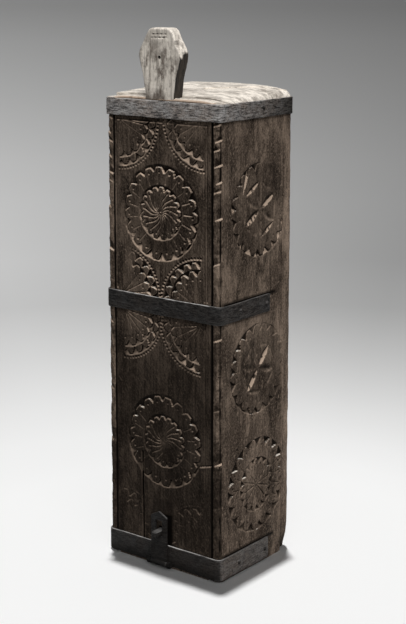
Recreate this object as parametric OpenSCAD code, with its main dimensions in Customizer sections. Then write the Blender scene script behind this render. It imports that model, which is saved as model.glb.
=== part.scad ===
// Standing candle box: a narrow board-built case with a sliding front panel, iron bands and a hasp.
// Millimetres, +Z up, front towards -Y. The origin is the middle of the base, on the table.

/* [Case] */
// Width of the wooden case
case_w = 140; // [116:1:180]
// Depth of the wooden case, panel included
case_d = 117; // [96:1:150]
// Height from the table to the upper edge of the top band
case_h = 462; // [380:1:560]
// Radius of the four upright corners
corner_r = 5; // [3:0.5:8]
// Thickness of the two side boards
side_t = 14; // [12:0.5:18]
// Thickness of the back board
back_t = 15; // [10:0.5:20]
// Thickness of the bottom board
bottom_t = 18; // [12:0.5:24]

/* [Top board] */
// How far the top board reaches down inside the top band
top_sunk = 14; // [8:0.5:16]
// Height of the top board above the band at its front edge
top_front_rise = 2.5; // [0.5:0.5:4]
// Height of the top board above the band at the back
top_back_rise = 8; // [4:0.5:12]
// Radius of the worn upper edges of the top board
top_edge_r = 7; // [3:0.5:7.5]
// Extra height in the middle of the top board, side to side
top_crown = 2; // [1:0.25:4]

/* [Sliding panel] */
// Width of the strip of each side board that shows beside the panel
stile_w = 9.5; // [7:0.5:11]
// Thickness of the panel and of its handle
lid_t = 14; // [11:0.5:16]
// How much wider each edge is at the back, for the undercut groove
lid_flare = 3; // [1.5:0.5:3.5]
// Running clearance of the panel in its grooves
lid_play = 0.3; // [0.2:0.05:0.6]
// Depth of the panel's face behind the bands
lid_setback = 0.4; // [0.3:0.1:1]

/* [Handle] */
// Height of the handle above the panel
handle_h = 65.5; // [50:0.5:80]
// Width of the handle where it leaves the panel
handle_base_w = 36; // [24:0.5:40]
// Width of the handle's neck
handle_neck_w = 41; // [30:0.5:44]
// Height of the neck
handle_neck_z = 17.5; // [14:0.5:22]
// Width of the handle at its shoulders
handle_shoulder_w = 54.5; // [46:0.5:60]
// Height of the shoulders
handle_shoulder_z = 40.5; // [36:0.5:46]
// Width of the handle's top edge
handle_top_w = 26; // [20:0.5:34]
// Sideways place of the handle on the panel
handle_x = -3; // [-10:0.5:10]
// Diameter of the hole in the handle
handle_hole_d = 2.4; // [1.5:0.1:5]
// Height of the hole in the handle
handle_hole_z = 37.5; // [28:0.5:44]

/* [Iron bands] */
// Thickness of the band iron
band_t = 1.5; // [1:0.25:2.5]
// Height of the top band
top_band_h = 17; // [14.5:0.5:24]
// Height of the middle band
middle_band_h = 18; // [12:0.5:24]
// Lower edge of the middle band
middle_band_z = 254.5; // [200:0.5:300]
// Height of the bottom band
bottom_band_h = 22; // [20:0.5:30]
// Lower edge of the bottom band
bottom_band_z = 1.5; // [1:0.5:4]
// Length of the middle and bottom bands along each side
band_reach = 81; // [66:1:90]
// Half length of the lapped joint at the back of the top band
lap_half = 22; // [14:1:30]

/* [Nails and pegs] */
// Diameter of a band nail's head
nail_head_d = 5; // [4:0.25:7]
// Height of a band nail's domed head
nail_head_h = 1.2; // [0.8:0.1:1.5]
// Diameter of every nail's shank
nail_d = 2.2; // [1.5:0.1:2.6]
// Depth of the nails in the wood
nail_depth = 10; // [6:0.5:11]
// Distance of a band's last nail from its end
nail_end = 6; // [4:0.5:10]
// Distance between a band's last two nails
nail_step = 43; // [20:1:50]
// Diameter of the wooden pegs in the top board
top_peg_d = 7; // [5:0.5:8]
// Depth of those pegs in the side boards
top_peg_depth = 25; // [15:1:40]

/* [Hasp] */
// Width of the hasp
hasp_w = 20; // [16:0.5:26]
// Thickness of the hasp
hasp_t = 2.5; // [2:0.25:3]
// Sideways place of the hasp's middle
hasp_x = -0.5; // [-8:0.5:8]
// Height of the hasp's shoulders above the table
hasp_shoulder_z = 53; // [51:0.5:62]
// Rise of the hasp's gable tip
hasp_gable = 5.5; // [3:0.5:9]
// Width of the slot
slot_w = 8; // [6:0.5:10]
// Lower end of the slot
slot_z = 32.7; // [28:0.1:34]
// Height of the slot
slot_h = 16; // [12:0.5:16.5]
// Height of the hinge axis above the table
hinge_z = 5; // [4.5:0.25:7]
// Outer radius of the rolled hinge eye
knuckle_r = 3.2; // [2.8:0.1:3.6]
// Radius of the hinge pin
pin_r = 1.5; // [1.2:0.05:1.7]
// Running clearance round the hinge pin
pin_play = 0.05; // [0.02:0.01:0.1]
// Gap between the rolled eye and the band
knuckle_gap = 0.3; // [0.2:0.05:0.6]
// Width of each spiked eye that holds the pin
eye_w = 3.5; // [2.5:0.25:5]
// Side gap between the hasp and each spiked eye
eye_gap = 0.4; // [0.2:0.1:1]
// Length of each eye's spike in the wood
spike_len = 16; // [10:1:24]

/* [Locking peg] */
// Height of the peg's section
peg_h = 6.5; // [5:0.5:8]
// Clearance of the peg in the slot
peg_play = 0.1; // [0.05:0.05:0.3]
// Length of the peg in front of the hasp
peg_out = 9; // [6:0.5:14]
// Gap between the drawn peg's inner end and the panel
peg_clear = 0.4; // [0.3:0.1:1]
// Depth of the peg's socket in the panel
socket_depth = 8; // [5:0.5:9]
// Clearance of the peg in its socket
socket_play = 0.3; // [0.2:0.1:0.6]

/* [Hidden] */
$fn = 48;
// Overlap of a cutting tool past the face it cuts
over = 1;
// Steps along each rounded corner of an outline
arc_steps = 8;

// Case
front_y = -case_d / 2;
back_y = case_d / 2;
inner_w = case_w - 2 * side_t;
back_inner_y = back_y - back_t;
top_seat_z = case_h - top_sunk;

// Sliding panel
lid_w = case_w - 2 * stile_w;
lid_front_y = front_y + lid_setback;
lid_back_y = lid_front_y + lid_t;
lid_bottom_z = bottom_t + lid_play;
lid_top_z = case_h + top_front_rise;
top_front_y = lid_back_y + 2 * lid_play;
handle_neck_r = 40;
handle_shoulder_r = 15;
handle_top_r = 7;

// Bands and the nails in them
band_front_y = front_y - band_t;
band_end_y = band_front_y + band_reach;
top_band_z = case_h - top_band_h;
band_nail_y = [band_end_y - nail_end, band_end_y - nail_end - nail_step];
top_nail_y = (top_front_y + back_y) / 2;
top_nail_z = case_h - top_sunk / 2;
middle_band_mid_z = middle_band_z + middle_band_h / 2;
bottom_band_mid_z = bottom_band_z + bottom_band_h / 2;
lap_nail_x = lap_half - nail_end;
nail_dome_r = (nail_head_h * nail_head_h + nail_head_d * nail_head_d / 4) / (2 * nail_head_h);
bottom_nail_z = bottom_t / 2;
bottom_nail_inset = 17;
bottom_nail_step = 35;
bottom_nail_y = [front_y + bottom_nail_inset, front_y + bottom_nail_inset + bottom_nail_step];
back_nail_count = 4;
back_nail_margin = 55;
back_nail_step = (top_seat_z - 2 * back_nail_margin) / (back_nail_count - 1);
flush_head_d = 5.5;
flush_head_h = 1.5;
top_peg_inset = 20;
top_peg_y = [top_front_y + top_peg_inset, back_inner_y - top_peg_inset];
top_peg_x = case_w / 2 - side_t / 2;

// Hasp
hinge_y = band_front_y - knuckle_gap - knuckle_r;
hasp_front_y = hinge_y - hasp_t / 2;
hasp_tip_z = hasp_shoulder_z + hasp_gable;
tip_r = 2;
shoulder_r = 1.5;
eye_x = hasp_w / 2 + eye_gap + eye_w / 2;
pin_head_r = 2.4;
pin_head_h = 1;
pin_len = 2 * (eye_x + eye_w / 2);
spike_r = 1.5;

// Locking peg
peg_w = slot_w - 2 * peg_play;
peg_z = slot_z + peg_play;
peg_back_y = lid_front_y - peg_clear;
peg_len = peg_back_y - hasp_front_y + peg_out;

// Colours
old_wood = [0.20, 0.16, 0.13];
worn_wood = [0.72, 0.66, 0.58];
iron = [0.16, 0.15, 0.15];

function unit(v) = v / norm(v);
function turn(v) = atan2(v[1], v[0]);
function wrap(a) = a > 180 ? a - 360 : a < -180 ? a + 360 : a;

// Points of an arc of radius r that rounds the corner at b, between the points a and c
function corner_arc(a, b, c, r) =
    let (
        u = unit(a - b),
        v = unit(c - b),
        half = acos(u * v) / 2,
        centre = b + unit(u + v) * r / sin(half),
        from = turn(b + u * r / tan(half) - centre),
        sweep = wrap(turn(b + v * r / tan(half) - centre) - from)
    )
    [for (i = [0 : arc_steps])
        centre + r * [cos(from + sweep * i / arc_steps), sin(from + sweep * i / arc_steps)]];

// An outline whose corners have the given radii, with 0 for a sharp one
function rounded(points, radii) =
    let (n = len(points))
    [for (i = [0 : n - 1])
        each radii[i] == 0 ? [points[i]]
            : corner_arc(points[(i + n - 1) % n], points[i], points[(i + 1) % n], radii[i])];

module rounded_rect(w, d, r) {
    square([w, d - 2 * r], center = true);
    square([w - 2 * r, d], center = true);
    for (x = [-1, 1], y = [-1, 1])
        translate([x * (w / 2 - r), y * (d / 2 - r)]) circle(r);
}

// Plan of the case, grown by a margin
module case_plan(grow = 0) {
    rounded_rect(case_w + 2 * grow, case_d + 2 * grow, corner_r + grow);
}

module both_sides() {
    children();
    mirror([1, 0, 0]) children();
}

// A nail along +X whose shank starts at the origin, with its head behind it
module band_nail(shank) {
    rotate([0, 90, 0]) cylinder(d = nail_d, h = shank);
    intersection() {
        translate([-nail_head_h, 0, 0]) rotate([0, 90, 0]) cylinder(d = nail_head_d, h = nail_head_h);
        translate([nail_dome_r - nail_head_h, 0, 0]) sphere(nail_dome_r);
    }
}

// A nail along +X whose flat head ends flush with the origin
module flush_nail(shank) {
    rotate([0, 90, 0]) cylinder(d = nail_d, h = shank);
    rotate([0, 90, 0]) cylinder(d = flush_head_d, h = flush_head_h);
}

// Places of the nails: each child is drawn along +X, into the wood
module at_strap_nails(z) {
    both_sides() for (y = band_nail_y)
        translate([-case_w / 2 - band_t, y, z]) children();
}

module at_top_side_nails() {
    both_sides() translate([-case_w / 2 - band_t, top_nail_y, top_nail_z]) children();
}

module at_lap_nails() {
    both_sides() translate([-lap_nail_x, back_y + 2 * band_t, top_nail_z])
        rotate([0, 0, -90]) children();
}

module at_back_nails() {
    both_sides() for (i = [0 : back_nail_count - 1])
        translate([-case_w / 2 + side_t / 2, back_y, back_nail_margin + i * back_nail_step])
            rotate([0, 0, -90]) children();
}

module at_bottom_nails() {
    both_sides() for (y = bottom_nail_y)
        translate([-case_w / 2, y, bottom_nail_z]) children();
}

module at_top_pegs() {
    both_sides() for (y = top_peg_y)
        translate([-top_peg_x, y, top_seat_z - top_peg_depth]) children();
}

module at_eyes() {
    for (side = [-1, 1])
        translate([hasp_x + side * eye_x, hinge_y, hinge_z]) children();
}

module strap_nail() { band_nail(band_t + nail_depth); }
module lap_nail() { band_nail(2 * band_t + nail_depth); }
module bottom_nail() { flush_nail(side_t + nail_depth); }
module back_nail() { flush_nail(back_t + nail_depth); }
module top_peg() { cylinder(d = top_peg_d, h = top_peg_depth + top_sunk + top_back_rise + top_crown); }
module spike() {
    rotate([-90, 0, 0]) cylinder(r = spike_r, h = knuckle_r + knuckle_gap + band_t + spike_len);
}

// Plan of the panel, grown by the play on the groove's walls
module panel_plan(play = 0) {
    slope = lid_flare / lid_t;
    reach = play > 0 ? lid_setback + over : 0;
    front = lid_w / 2 + play - slope * reach;
    back = lid_w / 2 + lid_flare + play + slope * play;
    polygon([
        [-front, lid_front_y - reach], [front, lid_front_y - reach],
        [back, lid_back_y + play], [-back, lid_back_y + play]
    ]);
}

module left_side() { color(old_wood) mirror([1, 0, 0]) side_board(); }
module right_side() { color(old_wood) side_board(); }

// A side board: the front edge has the undercut groove and stands up beside the panel
module side_board() {
    difference() {
        linear_extrude(case_h) intersection() {
            case_plan();
            translate([inner_w / 2, front_y]) square([side_t, case_d - back_t]);
        }
        translate([0, 0, bottom_t]) linear_extrude(case_h) panel_plan(lid_play);
        translate([0, top_front_y - lid_play, top_seat_z]) cube([case_w, case_d, case_h]);
        at_strap_nails(middle_band_mid_z) strap_nail();
        at_strap_nails(bottom_band_mid_z) strap_nail();
        at_bottom_nails() bottom_nail();
        at_back_nails() back_nail();
        at_top_pegs() top_peg();
    }
}

module back_board() {
    color(old_wood) difference() {
        linear_extrude(top_seat_z) intersection() {
            case_plan();
            translate([-case_w / 2, back_inner_y]) square([case_w, back_t]);
        }
        at_back_nails() back_nail();
    }
}

module bottom_board() {
    color(old_wood) difference() {
        translate([-inner_w / 2, front_y, 0]) cube([inner_w, back_inner_y - front_y, bottom_t]);
        at_bottom_nails() bottom_nail();
        at_eyes() spike();
    }
}

// Cross-section of the top board from front to back, drawn in Y and Z
module top_profile() {
    top_z = case_h + top_back_rise + top_crown;
    intersection() {
        polygon([
            [top_front_y, top_seat_z], [back_y, top_seat_z], [back_y, top_z],
            [back_y - top_edge_r, top_z], [top_front_y, case_h + top_front_rise + top_crown]
        ]);
        union() {
            translate([top_front_y, top_seat_z]) square([back_y - top_edge_r - top_front_y, case_h]);
            translate([top_front_y, top_seat_z]) square([back_y - top_front_y, top_z - top_edge_r - top_seat_z]);
            translate([back_y - top_edge_r, top_z - top_edge_r]) circle(top_edge_r);
        }
    }
}

// Cross-section of the top board from side to side, drawn in X and Z
module top_span() {
    top_z = case_h + top_back_rise + top_crown;
    crown_r = (case_w * case_w / 4 + top_crown * top_crown) / (2 * top_crown);
    intersection() {
        translate([0, top_z - crown_r]) circle(crown_r, $fn = 400);
        translate([0, top_z - case_h / 2]) rounded_rect(case_w, case_h, top_edge_r);
    }
}

// Space that the top board fills before its pegs are drilled
module top_blank() {
    intersection() {
        linear_extrude(case_h + handle_h) intersection() {
            case_plan();
            translate([-case_w / 2, top_front_y]) square([case_w, case_d]);
        }
        rotate([90, 0, 90]) translate([0, 0, -case_w / 2]) linear_extrude(case_w) top_profile();
        rotate([90, 0, 0]) translate([0, 0, -case_d / 2]) linear_extrude(case_d) top_span();
    }
}

module top_board() {
    color(worn_wood) difference() {
        top_blank();
        at_top_pegs() top_peg();
        top_band_nail_set();
    }
}

module handle_outline() {
    right = [
        [handle_base_w / 2, -top_front_rise],
        [handle_neck_w / 2, handle_neck_z],
        [handle_shoulder_w / 2, handle_shoulder_z],
        [handle_top_w / 2, handle_h]
    ];
    left = [for (i = [len(right) - 1 : -1 : 0]) [-right[i][0], right[i][1]]];
    radii = [0, handle_neck_r, handle_shoulder_r, handle_top_r];
    polygon(rounded(concat(right, left), concat(radii, [for (i = [3 : -1 : 0]) radii[i]])));
}

module sliding_panel() {
    color(old_wood) difference() {
        union() {
            translate([0, 0, lid_bottom_z]) linear_extrude(lid_top_z - lid_bottom_z) panel_plan();
            translate([handle_x, lid_back_y, lid_top_z]) rotate([90, 0, 0])
                linear_extrude(lid_t) handle_outline();
        }
        translate([handle_x, lid_front_y - over, lid_top_z + handle_hole_z]) rotate([-90, 0, 0])
            cylinder(d = handle_hole_d, h = lid_t + 2 * over);
        translate([hasp_x - peg_w / 2 - socket_play, lid_front_y - over, peg_z - socket_play])
            cube([peg_w + 2 * socket_play, socket_depth + over, peg_h + 2 * socket_play]);
    }
}

// Plan of a band all round the case
module band_plan() {
    difference() {
        case_plan(band_t);
        case_plan();
    }
}

module top_band() {
    color(iron) translate([0, 0, top_band_z]) difference() {
        linear_extrude(top_band_h) union() {
            band_plan();
            translate([-lap_half, back_y + band_t]) square([2 * lap_half, band_t]);
        }
        translate([0, 0, -top_band_z]) top_band_nail_set();
    }
}

// A band across the front and along both sides as far as band_reach
module strap_band(z, h) {
    difference() {
        translate([0, 0, z]) linear_extrude(h) intersection() {
            band_plan();
            translate([-case_w, band_front_y]) square([2 * case_w, band_reach]);
        }
        at_strap_nails(z + h / 2) strap_nail();
    }
}

module middle_band() { color(iron) strap_band(middle_band_z, middle_band_h); }

module bottom_band() {
    color(iron) difference() {
        strap_band(bottom_band_z, bottom_band_h);
        at_eyes() spike();
    }
}

module top_band_nail_set() {
    at_top_side_nails() strap_nail();
    at_lap_nails() lap_nail();
}

module top_band_nails() { color(iron) top_band_nail_set(); }
module middle_band_nails() { color(iron) at_strap_nails(middle_band_mid_z) strap_nail(); }
module bottom_band_nails() { color(iron) at_strap_nails(bottom_band_mid_z) strap_nail(); }
module back_nails() { color(iron) at_back_nails() back_nail(); }
module bottom_nails() { color(iron) at_bottom_nails() bottom_nail(); }

module top_pegs() {
    color(worn_wood) intersection() {
        at_top_pegs() top_peg();
        union() {
            top_blank();
            translate([-case_w / 2, front_y, 0]) cube([case_w, case_d, top_seat_z]);
        }
    }
}

// Two eyes with spikes, driven through the bottom band into the edge of the bottom board
module hinge_eyes() {
    color(iron) at_eyes() difference() {
        union() {
            rotate([0, 90, 0]) cylinder(r = knuckle_r, h = eye_w, center = true);
            spike();
        }
        rotate([0, 90, 0]) cylinder(r = pin_r, h = eye_w + 2 * over, center = true);
    }
}

module hinge_pin() {
    color(iron) translate([hasp_x, hinge_y, hinge_z]) rotate([0, 90, 0]) {
        cylinder(r = pin_r, h = pin_len, center = true);
        for (end = [-1, 1])
            translate([0, 0, end * (pin_len + pin_head_h) / 2])
                cylinder(r = pin_head_r, h = pin_head_h, center = true);
    }
}

// Front view of the hasp's plate, from the hinge axis to the gable tip
module hasp_outline() {
    half = hasp_w / 2;
    difference() {
        polygon(rounded(
            [[-half, hinge_z], [half, hinge_z], [half, hasp_shoulder_z], [0, hasp_tip_z],
                [-half, hasp_shoulder_z]],
            [0, 0, shoulder_r, tip_r, shoulder_r]));
        translate([-slot_w / 2, slot_z]) square([slot_w, slot_h]);
    }
}

module hasp() {
    color(iron) translate([hasp_x, hinge_y, 0]) difference() {
        union() {
            translate([0, hasp_t / 2, 0]) rotate([90, 0, 0]) linear_extrude(hasp_t) hasp_outline();
            translate([0, 0, hinge_z]) rotate([0, 90, 0])
                cylinder(r = knuckle_r, h = hasp_w, center = true);
        }
        translate([0, 0, hinge_z]) rotate([0, 90, 0])
            cylinder(r = pin_r + pin_play, h = hasp_w + 2 * over, center = true);
    }
}

// A flat-sided peg with a round nose, drawn back until its inner end is clear of the panel
module locking_peg() {
    color(iron) translate([hasp_x, peg_back_y, peg_z]) linear_extrude(peg_h) {
        translate([-peg_w / 2, peg_w / 2 - peg_len]) square([peg_w, peg_len - peg_w / 2]);
        translate([0, peg_w / 2 - peg_len]) circle(d = peg_w);
    }
}

left_side();
right_side();
back_board();
bottom_board();
top_board();
sliding_panel();
top_band();
middle_band();
bottom_band();
top_band_nails();
middle_band_nails();
bottom_band_nails();
back_nails();
bottom_nails();
top_pegs();
hinge_eyes();
hinge_pin();
hasp();
locking_peg();
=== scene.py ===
"""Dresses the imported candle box: carved boards, a worn handle, forged iron and a plain stage."""
import math

import bmesh
import bpy
import numpy as np
from mathutils import Matrix, Vector, noise


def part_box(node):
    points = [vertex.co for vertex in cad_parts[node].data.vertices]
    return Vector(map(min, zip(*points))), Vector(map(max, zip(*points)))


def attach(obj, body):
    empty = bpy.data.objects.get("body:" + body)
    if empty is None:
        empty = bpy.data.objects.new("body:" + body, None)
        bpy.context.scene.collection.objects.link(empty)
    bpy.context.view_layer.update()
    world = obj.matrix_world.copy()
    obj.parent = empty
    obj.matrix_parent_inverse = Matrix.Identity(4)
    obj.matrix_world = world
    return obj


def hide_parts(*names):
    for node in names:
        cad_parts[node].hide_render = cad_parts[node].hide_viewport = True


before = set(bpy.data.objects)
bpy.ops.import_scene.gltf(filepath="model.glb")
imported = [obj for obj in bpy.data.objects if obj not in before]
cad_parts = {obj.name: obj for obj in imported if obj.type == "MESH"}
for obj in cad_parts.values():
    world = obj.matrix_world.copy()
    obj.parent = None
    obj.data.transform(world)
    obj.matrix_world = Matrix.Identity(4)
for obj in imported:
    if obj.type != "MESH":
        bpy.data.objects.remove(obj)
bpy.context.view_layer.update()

bl_info = {
    "name": "Carved candle box",
    "version": (1, 0, 0),
    "blender": (4, 5, 0),
    "location": "3D View > Sidebar > Candle Box",
    "description": "Builds the carved boards, the worn iron and the stage of a standing candle box",
    "category": "Object",
}

MM = 0.001
FULL_TURN = 2 * math.pi
QUARTER = math.pi / 2
SHARP_ANGLE = math.radians(40)


def node_mm(name):
    """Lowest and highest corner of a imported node, in millimetres."""
    low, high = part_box(name)
    return np.array(low) / MM, np.array(high) / MM


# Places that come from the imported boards, in millimetres

SIDE_LOW, SIDE_HIGH = node_mm("right_side")
PANEL_LOW, PANEL_HIGH = node_mm("sliding_panel")
BACK_LOW, BACK_HIGH = node_mm("back_board")
TOP_LOW, TOP_HIGH = node_mm("top_board")
HASP_LOW, HASP_HIGH = node_mm("hasp")
PEG_LOW, PEG_HIGH = node_mm("locking_peg")

PANEL_FLARE = 3.0
PANEL_PROUD = 2.5
GROOVE_PLAY = 0.3
CORNER_ROUND = 5.0
CASE_HALF = SIDE_HIGH[0]
CASE_FRONT = SIDE_LOW[1]
CASE_BACK = BACK_HIGH[1]
CASE_TOP = SIDE_HIGH[2]
PANEL_HALF = PANEL_HIGH[0] - PANEL_FLARE
PANEL_TOP = CASE_TOP + PANEL_PROUD
SEAT_Z = TOP_LOW[2]

# Tones that the carving leaves on the wood: black in joints and cracks, light where it is rubbed and as a
# painted highlight on lit walls of the cuts

TONE_BLACK = -1.0
TONE_LIT_AND_BARE = 2.3


# Settings

class CarvingSettings(bpy.types.PropertyGroup):
    """Sizes of the chip carving"""
    step: bpy.props.FloatProperty(
        name="Grid step", description="Distance between the points of a carved face",
        default=0.0007, min=0.0003, max=0.003, precision=4, unit="LENGTH")
    rosette_radius: bpy.props.FloatProperty(
        name="Rosette radius", description="Outer radius of the rosettes on the panel",
        default=0.047, min=0.03, max=0.05, precision=4, unit="LENGTH")
    disc_radius: bpy.props.FloatProperty(
        name="Inner disc radius", description="Radius of the disc inside each rosette",
        default=0.027, min=0.015, max=0.03, precision=4, unit="LENGTH")
    tongues: bpy.props.IntProperty(
        name="Tongues", description="Tongues round the rim of a panel rosette",
        default=19, min=8, max=30)
    chip_depth: bpy.props.FloatProperty(
        name="Chip depth", description="Depth of the largest chips",
        default=0.0034, min=0.0005, max=0.004, precision=4, unit="LENGTH")
    line_depth: bpy.props.FloatProperty(
        name="Line depth", description="Depth of the incised lines",
        default=0.0009, min=0.0002, max=0.002, precision=4, unit="LENGTH")
    fan_radius: bpy.props.FloatProperty(
        name="Fan radius", description="Radius of the dotted arc round each corner fan",
        default=0.0485, min=0.03, max=0.055, precision=4, unit="LENGTH")
    wear: bpy.props.FloatProperty(
        name="Wear", description="How much of the carving is rubbed away in the worn places",
        default=0.6, min=0.0, max=1.0, subtype="FACTOR")


class FinishSettings(bpy.types.PropertyGroup):
    """Colours of the wood, the iron and the floor"""
    old_wood: bpy.props.FloatVectorProperty(
        name="Old wood", description="Waxed dark wood of the case and the panel",
        default=(0.046, 0.034, 0.026), min=0.0, max=1.0, subtype="COLOR")
    rubbed_wood: bpy.props.FloatVectorProperty(
        name="Rubbed wood", description="Dark wood where hands and edges have rubbed it",
        default=(0.165, 0.125, 0.095), min=0.0, max=1.0, subtype="COLOR")
    pale_wood: bpy.props.FloatVectorProperty(
        name="Pale wood", description="Bare worn wood of the top board and the handle",
        default=(0.82, 0.75, 0.66), min=0.0, max=1.0, subtype="COLOR")
    grime: bpy.props.FloatVectorProperty(
        name="Grime", description="Dirt in the grain of the pale wood",
        default=(0.13, 0.10, 0.078), min=0.0, max=1.0, subtype="COLOR")
    iron: bpy.props.FloatVectorProperty(
        name="Iron", description="Dark forged iron",
        default=(0.10, 0.095, 0.092), min=0.0, max=1.0, subtype="COLOR")
    # Also laid, brighter, on up-facing iron tops as a painted highlight
    bright_iron: bpy.props.FloatVectorProperty(
        name="Rubbed iron", description="Iron along its rubbed edges",
        default=(0.30, 0.29, 0.28), min=0.0, max=1.0, subtype="COLOR")
    floor: bpy.props.FloatVectorProperty(
        name="Floor", description="Pale studio floor",
        default=(0.915, 0.915, 0.91), min=0.0, max=1.0, subtype="COLOR")


class StageSettings(bpy.types.PropertyGroup):
    """Camera and lights"""
    camera_turn: bpy.props.FloatProperty(
        name="Camera turn", description="How far the camera stands round to the right of the front",
        default=math.radians(38.05), subtype="ANGLE")
    camera_distance: bpy.props.FloatProperty(
        name="Camera distance", description="Distance of the camera from the box, along the floor",
        default=1.393, min=0.5, unit="LENGTH")
    camera_height: bpy.props.FloatProperty(
        name="Camera height", description="Height of the camera above the floor",
        default=0.584, min=0.05, unit="LENGTH")
    camera_tilt: bpy.props.FloatProperty(
        name="Camera tilt", description="How far the camera looks down",
        default=math.radians(9.46), subtype="ANGLE")
    lens: bpy.props.FloatProperty(
        name="Lens", description="Focal length on a 36 mm frame",
        default=82.85, min=20.0)
    key_light: bpy.props.FloatProperty(
        name="Key light", description="Strength of the soft light from above and the right front",
        default=3.0, min=0.0)
    front_light: bpy.props.FloatProperty(
        name="Front light", description="Strength of the soft low light from the right front",
        default=0.45, min=0.0)
    back_light: bpy.props.FloatProperty(
        name="Back light", description="Strength of the soft light from behind on the left",
        default=0.5, min=0.0)
    floor_light: bpy.props.FloatProperty(
        name="Floor light", description="Strength of the overhead light that casts the floor's shadow",
        default=2.75, min=0.0)
    room_light: bpy.props.FloatProperty(
        name="Room light", description="Strength of the light from all round",
        default=0.085, min=0.0)


# Small tools for numbers and outlines

def scaled(values, factor, most=math.inf):
    """A colour or a scale times a factor, each part held to the most."""
    return tuple(min(most, factor * value) for value in values)


def ramp(value, start, end):
    """0 where a value is at the start, 1 at the end, and held beyond them."""
    return np.clip((value - start) / (end - start), 0.0, 1.0)


def spread(low, high, step):
    """Even places from low to high, about a step apart."""
    return np.linspace(low, high, int(round((high - low) / step)) + 1)


def angles_round(count):
    """Even angles round a full turn."""
    return np.linspace(0.0, FULL_TURN, count, endpoint=False)


def inside_arc(angle, arc):
    """True where an angle lies between the two of an arc, or everywhere without one."""
    if arc is None:
        return np.ones_like(angle, dtype=bool)
    return (angle - arc[0]) % FULL_TURN <= arc[1] - arc[0]


def smooth_field(seed, shape, cells):
    """Seeded smooth noise from -1 to 1 over a grid of the given shape, with that many cells each way."""
    rng = np.random.default_rng(seed)
    out = rng.uniform(-1.0, 1.0, (cells[0] + 2, cells[1] + 2))
    for axis in (0, 1):
        place = np.linspace(0.0, cells[axis], shape[axis])
        first = np.floor(place).astype(int)
        part = place - first
        part = part * part * (3.0 - 2.0 * part)
        part = part[:, None] if axis == 0 else part[None, :]
        out = np.take(out, first, axis) * (1.0 - part) + np.take(out, first + 1, axis) * part
    return out


def smooth_share(seed, shape, cells):
    """The same noise as a share from 0 to 1."""
    return 0.5 + 0.5 * smooth_field(seed, shape, cells)


def rounded_outline(points, radii, steps=8):
    """Points of a flat outline whose corners are rounded by the given radii."""
    out = []
    for i, (corner, radius) in enumerate(zip(points, radii)):
        corner = Vector(corner)
        if radius == 0:
            out.append(corner[:])
            continue
        before = (Vector(points[i - 1]) - corner).normalized()
        after = (Vector(points[(i + 1) % len(points)]) - corner).normalized()
        half = before.angle(after) / 2
        centre = corner + (before + after).normalized() * radius / math.sin(half)
        first = corner + before * radius / math.tan(half) - centre
        last = corner + after * radius / math.tan(half) - centre
        turn = math.atan2(first.x * last.y - first.y * last.x, first.dot(last))
        for k in range(steps + 1):
            spot = first.copy()
            spot.rotate(Matrix.Rotation(turn * k / steps, 2))
            out.append((centre + spot)[:])
    return np.array(out)


def spaced(outline, pitch):
    """The same closed outline with points no further apart than the pitch."""
    out = []
    for start, end in zip(outline, np.roll(outline, -1, axis=0)):
        count = max(1, math.ceil(np.linalg.norm(end - start) / pitch))
        out.extend(start + (end - start) * i / count for i in range(count))
    return np.array(out)


def outward(plan):
    """Outward normals along a closed outline that runs anticlockwise."""
    along = np.roll(plan, -1, axis=0) - np.roll(plan, 1, axis=0)
    normal = np.stack([along[:, 1], -along[:, 0]], axis=-1)
    return normal / np.linalg.norm(normal, axis=1)[:, None]


def reach_of(outline, centre, angles):
    """Distance from the centre to a flat outline in each direction."""
    tiny, slack = 1e-9, 1e-6
    start = outline - centre
    side = np.roll(start, -1, axis=0) - start
    reach = np.zeros(len(angles))
    for i, angle in enumerate(angles):
        ray = np.array([math.cos(angle), math.sin(angle)])
        cross = ray[0] * side[:, 1] - ray[1] * side[:, 0]
        safe = np.where(np.abs(cross) < tiny, tiny, cross)
        along = (start[:, 0] * side[:, 1] - start[:, 1] * side[:, 0]) / safe
        place = (start[:, 0] * ray[1] - start[:, 1] * ray[0]) / safe
        on_side = (np.abs(cross) > tiny) & (place >= -slack) & (place <= 1 + slack)
        reach[i] = along[on_side & (along > 0)].max()
    return reach


# Small tools for meshes

def ring(x, y, z):
    """A ring of points from its coordinates, each one number or one for every point."""
    return np.stack(np.broadcast_arrays(x, y, z), axis=-1)


def stacked(plan, heights):
    """The same plan outline at each height, as rows x points x 3."""
    return np.array([ring(plan[:, 0], plan[:, 1], height) for height in heights])


def pierced_plate(outline, hole, centre, front, back, edge, rim, around, inner_rows):
    """Grid over an upright plate with a hole through it: edge rounds its outline, rim the hole."""
    angles = angles_round(around)
    outer = reach_of(outline, np.array(centre), angles)
    inner = reach_of(hole, np.array(centre), angles)
    face = [(inner, rim), (inner + 0.3 * rim, 0.3 * rim)]
    for part in np.linspace(0.0, 1.0, inner_rows):
        face.append((inner + rim + (outer - edge - inner - rim) * part, 0.0))
    for turn in np.linspace(0.0, QUARTER, 6)[1:]:
        face.append((outer - edge + edge * math.sin(turn), edge - edge * math.cos(turn)))
    rows = [(reach, front + inset) for reach, inset in face]
    rows += [(outer, front + edge + (back - front - 2 * edge) * part) for part in (0.25, 0.5, 0.75)]
    rows += [(reach, back - inset) for reach, inset in reversed(face)]
    return np.array([
        ring(centre[0] + reach * np.cos(angles), depth, centre[1] + reach * np.sin(angles))
        for reach, depth in rows])


def erode(mesh, bite, seed, coarse, fine):
    """Moves the points of a mesh inwards by seeded dents of two sizes, bite millimetres at most."""
    shift = Vector((seed * 3.7, seed * 1.9, seed * 5.3))
    moved = []
    for vert in mesh.vertices:
        place = vert.co / MM
        broad = noise.noise(place / coarse + shift)
        close = noise.noise(place / fine + shift)
        moved.append(vert.co - vert.normal * (bite * (0.5 + 0.35 * broad + 0.15 * close) * MM))
    for vert, place in zip(mesh.vertices, moved):
        vert.co = place


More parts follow.
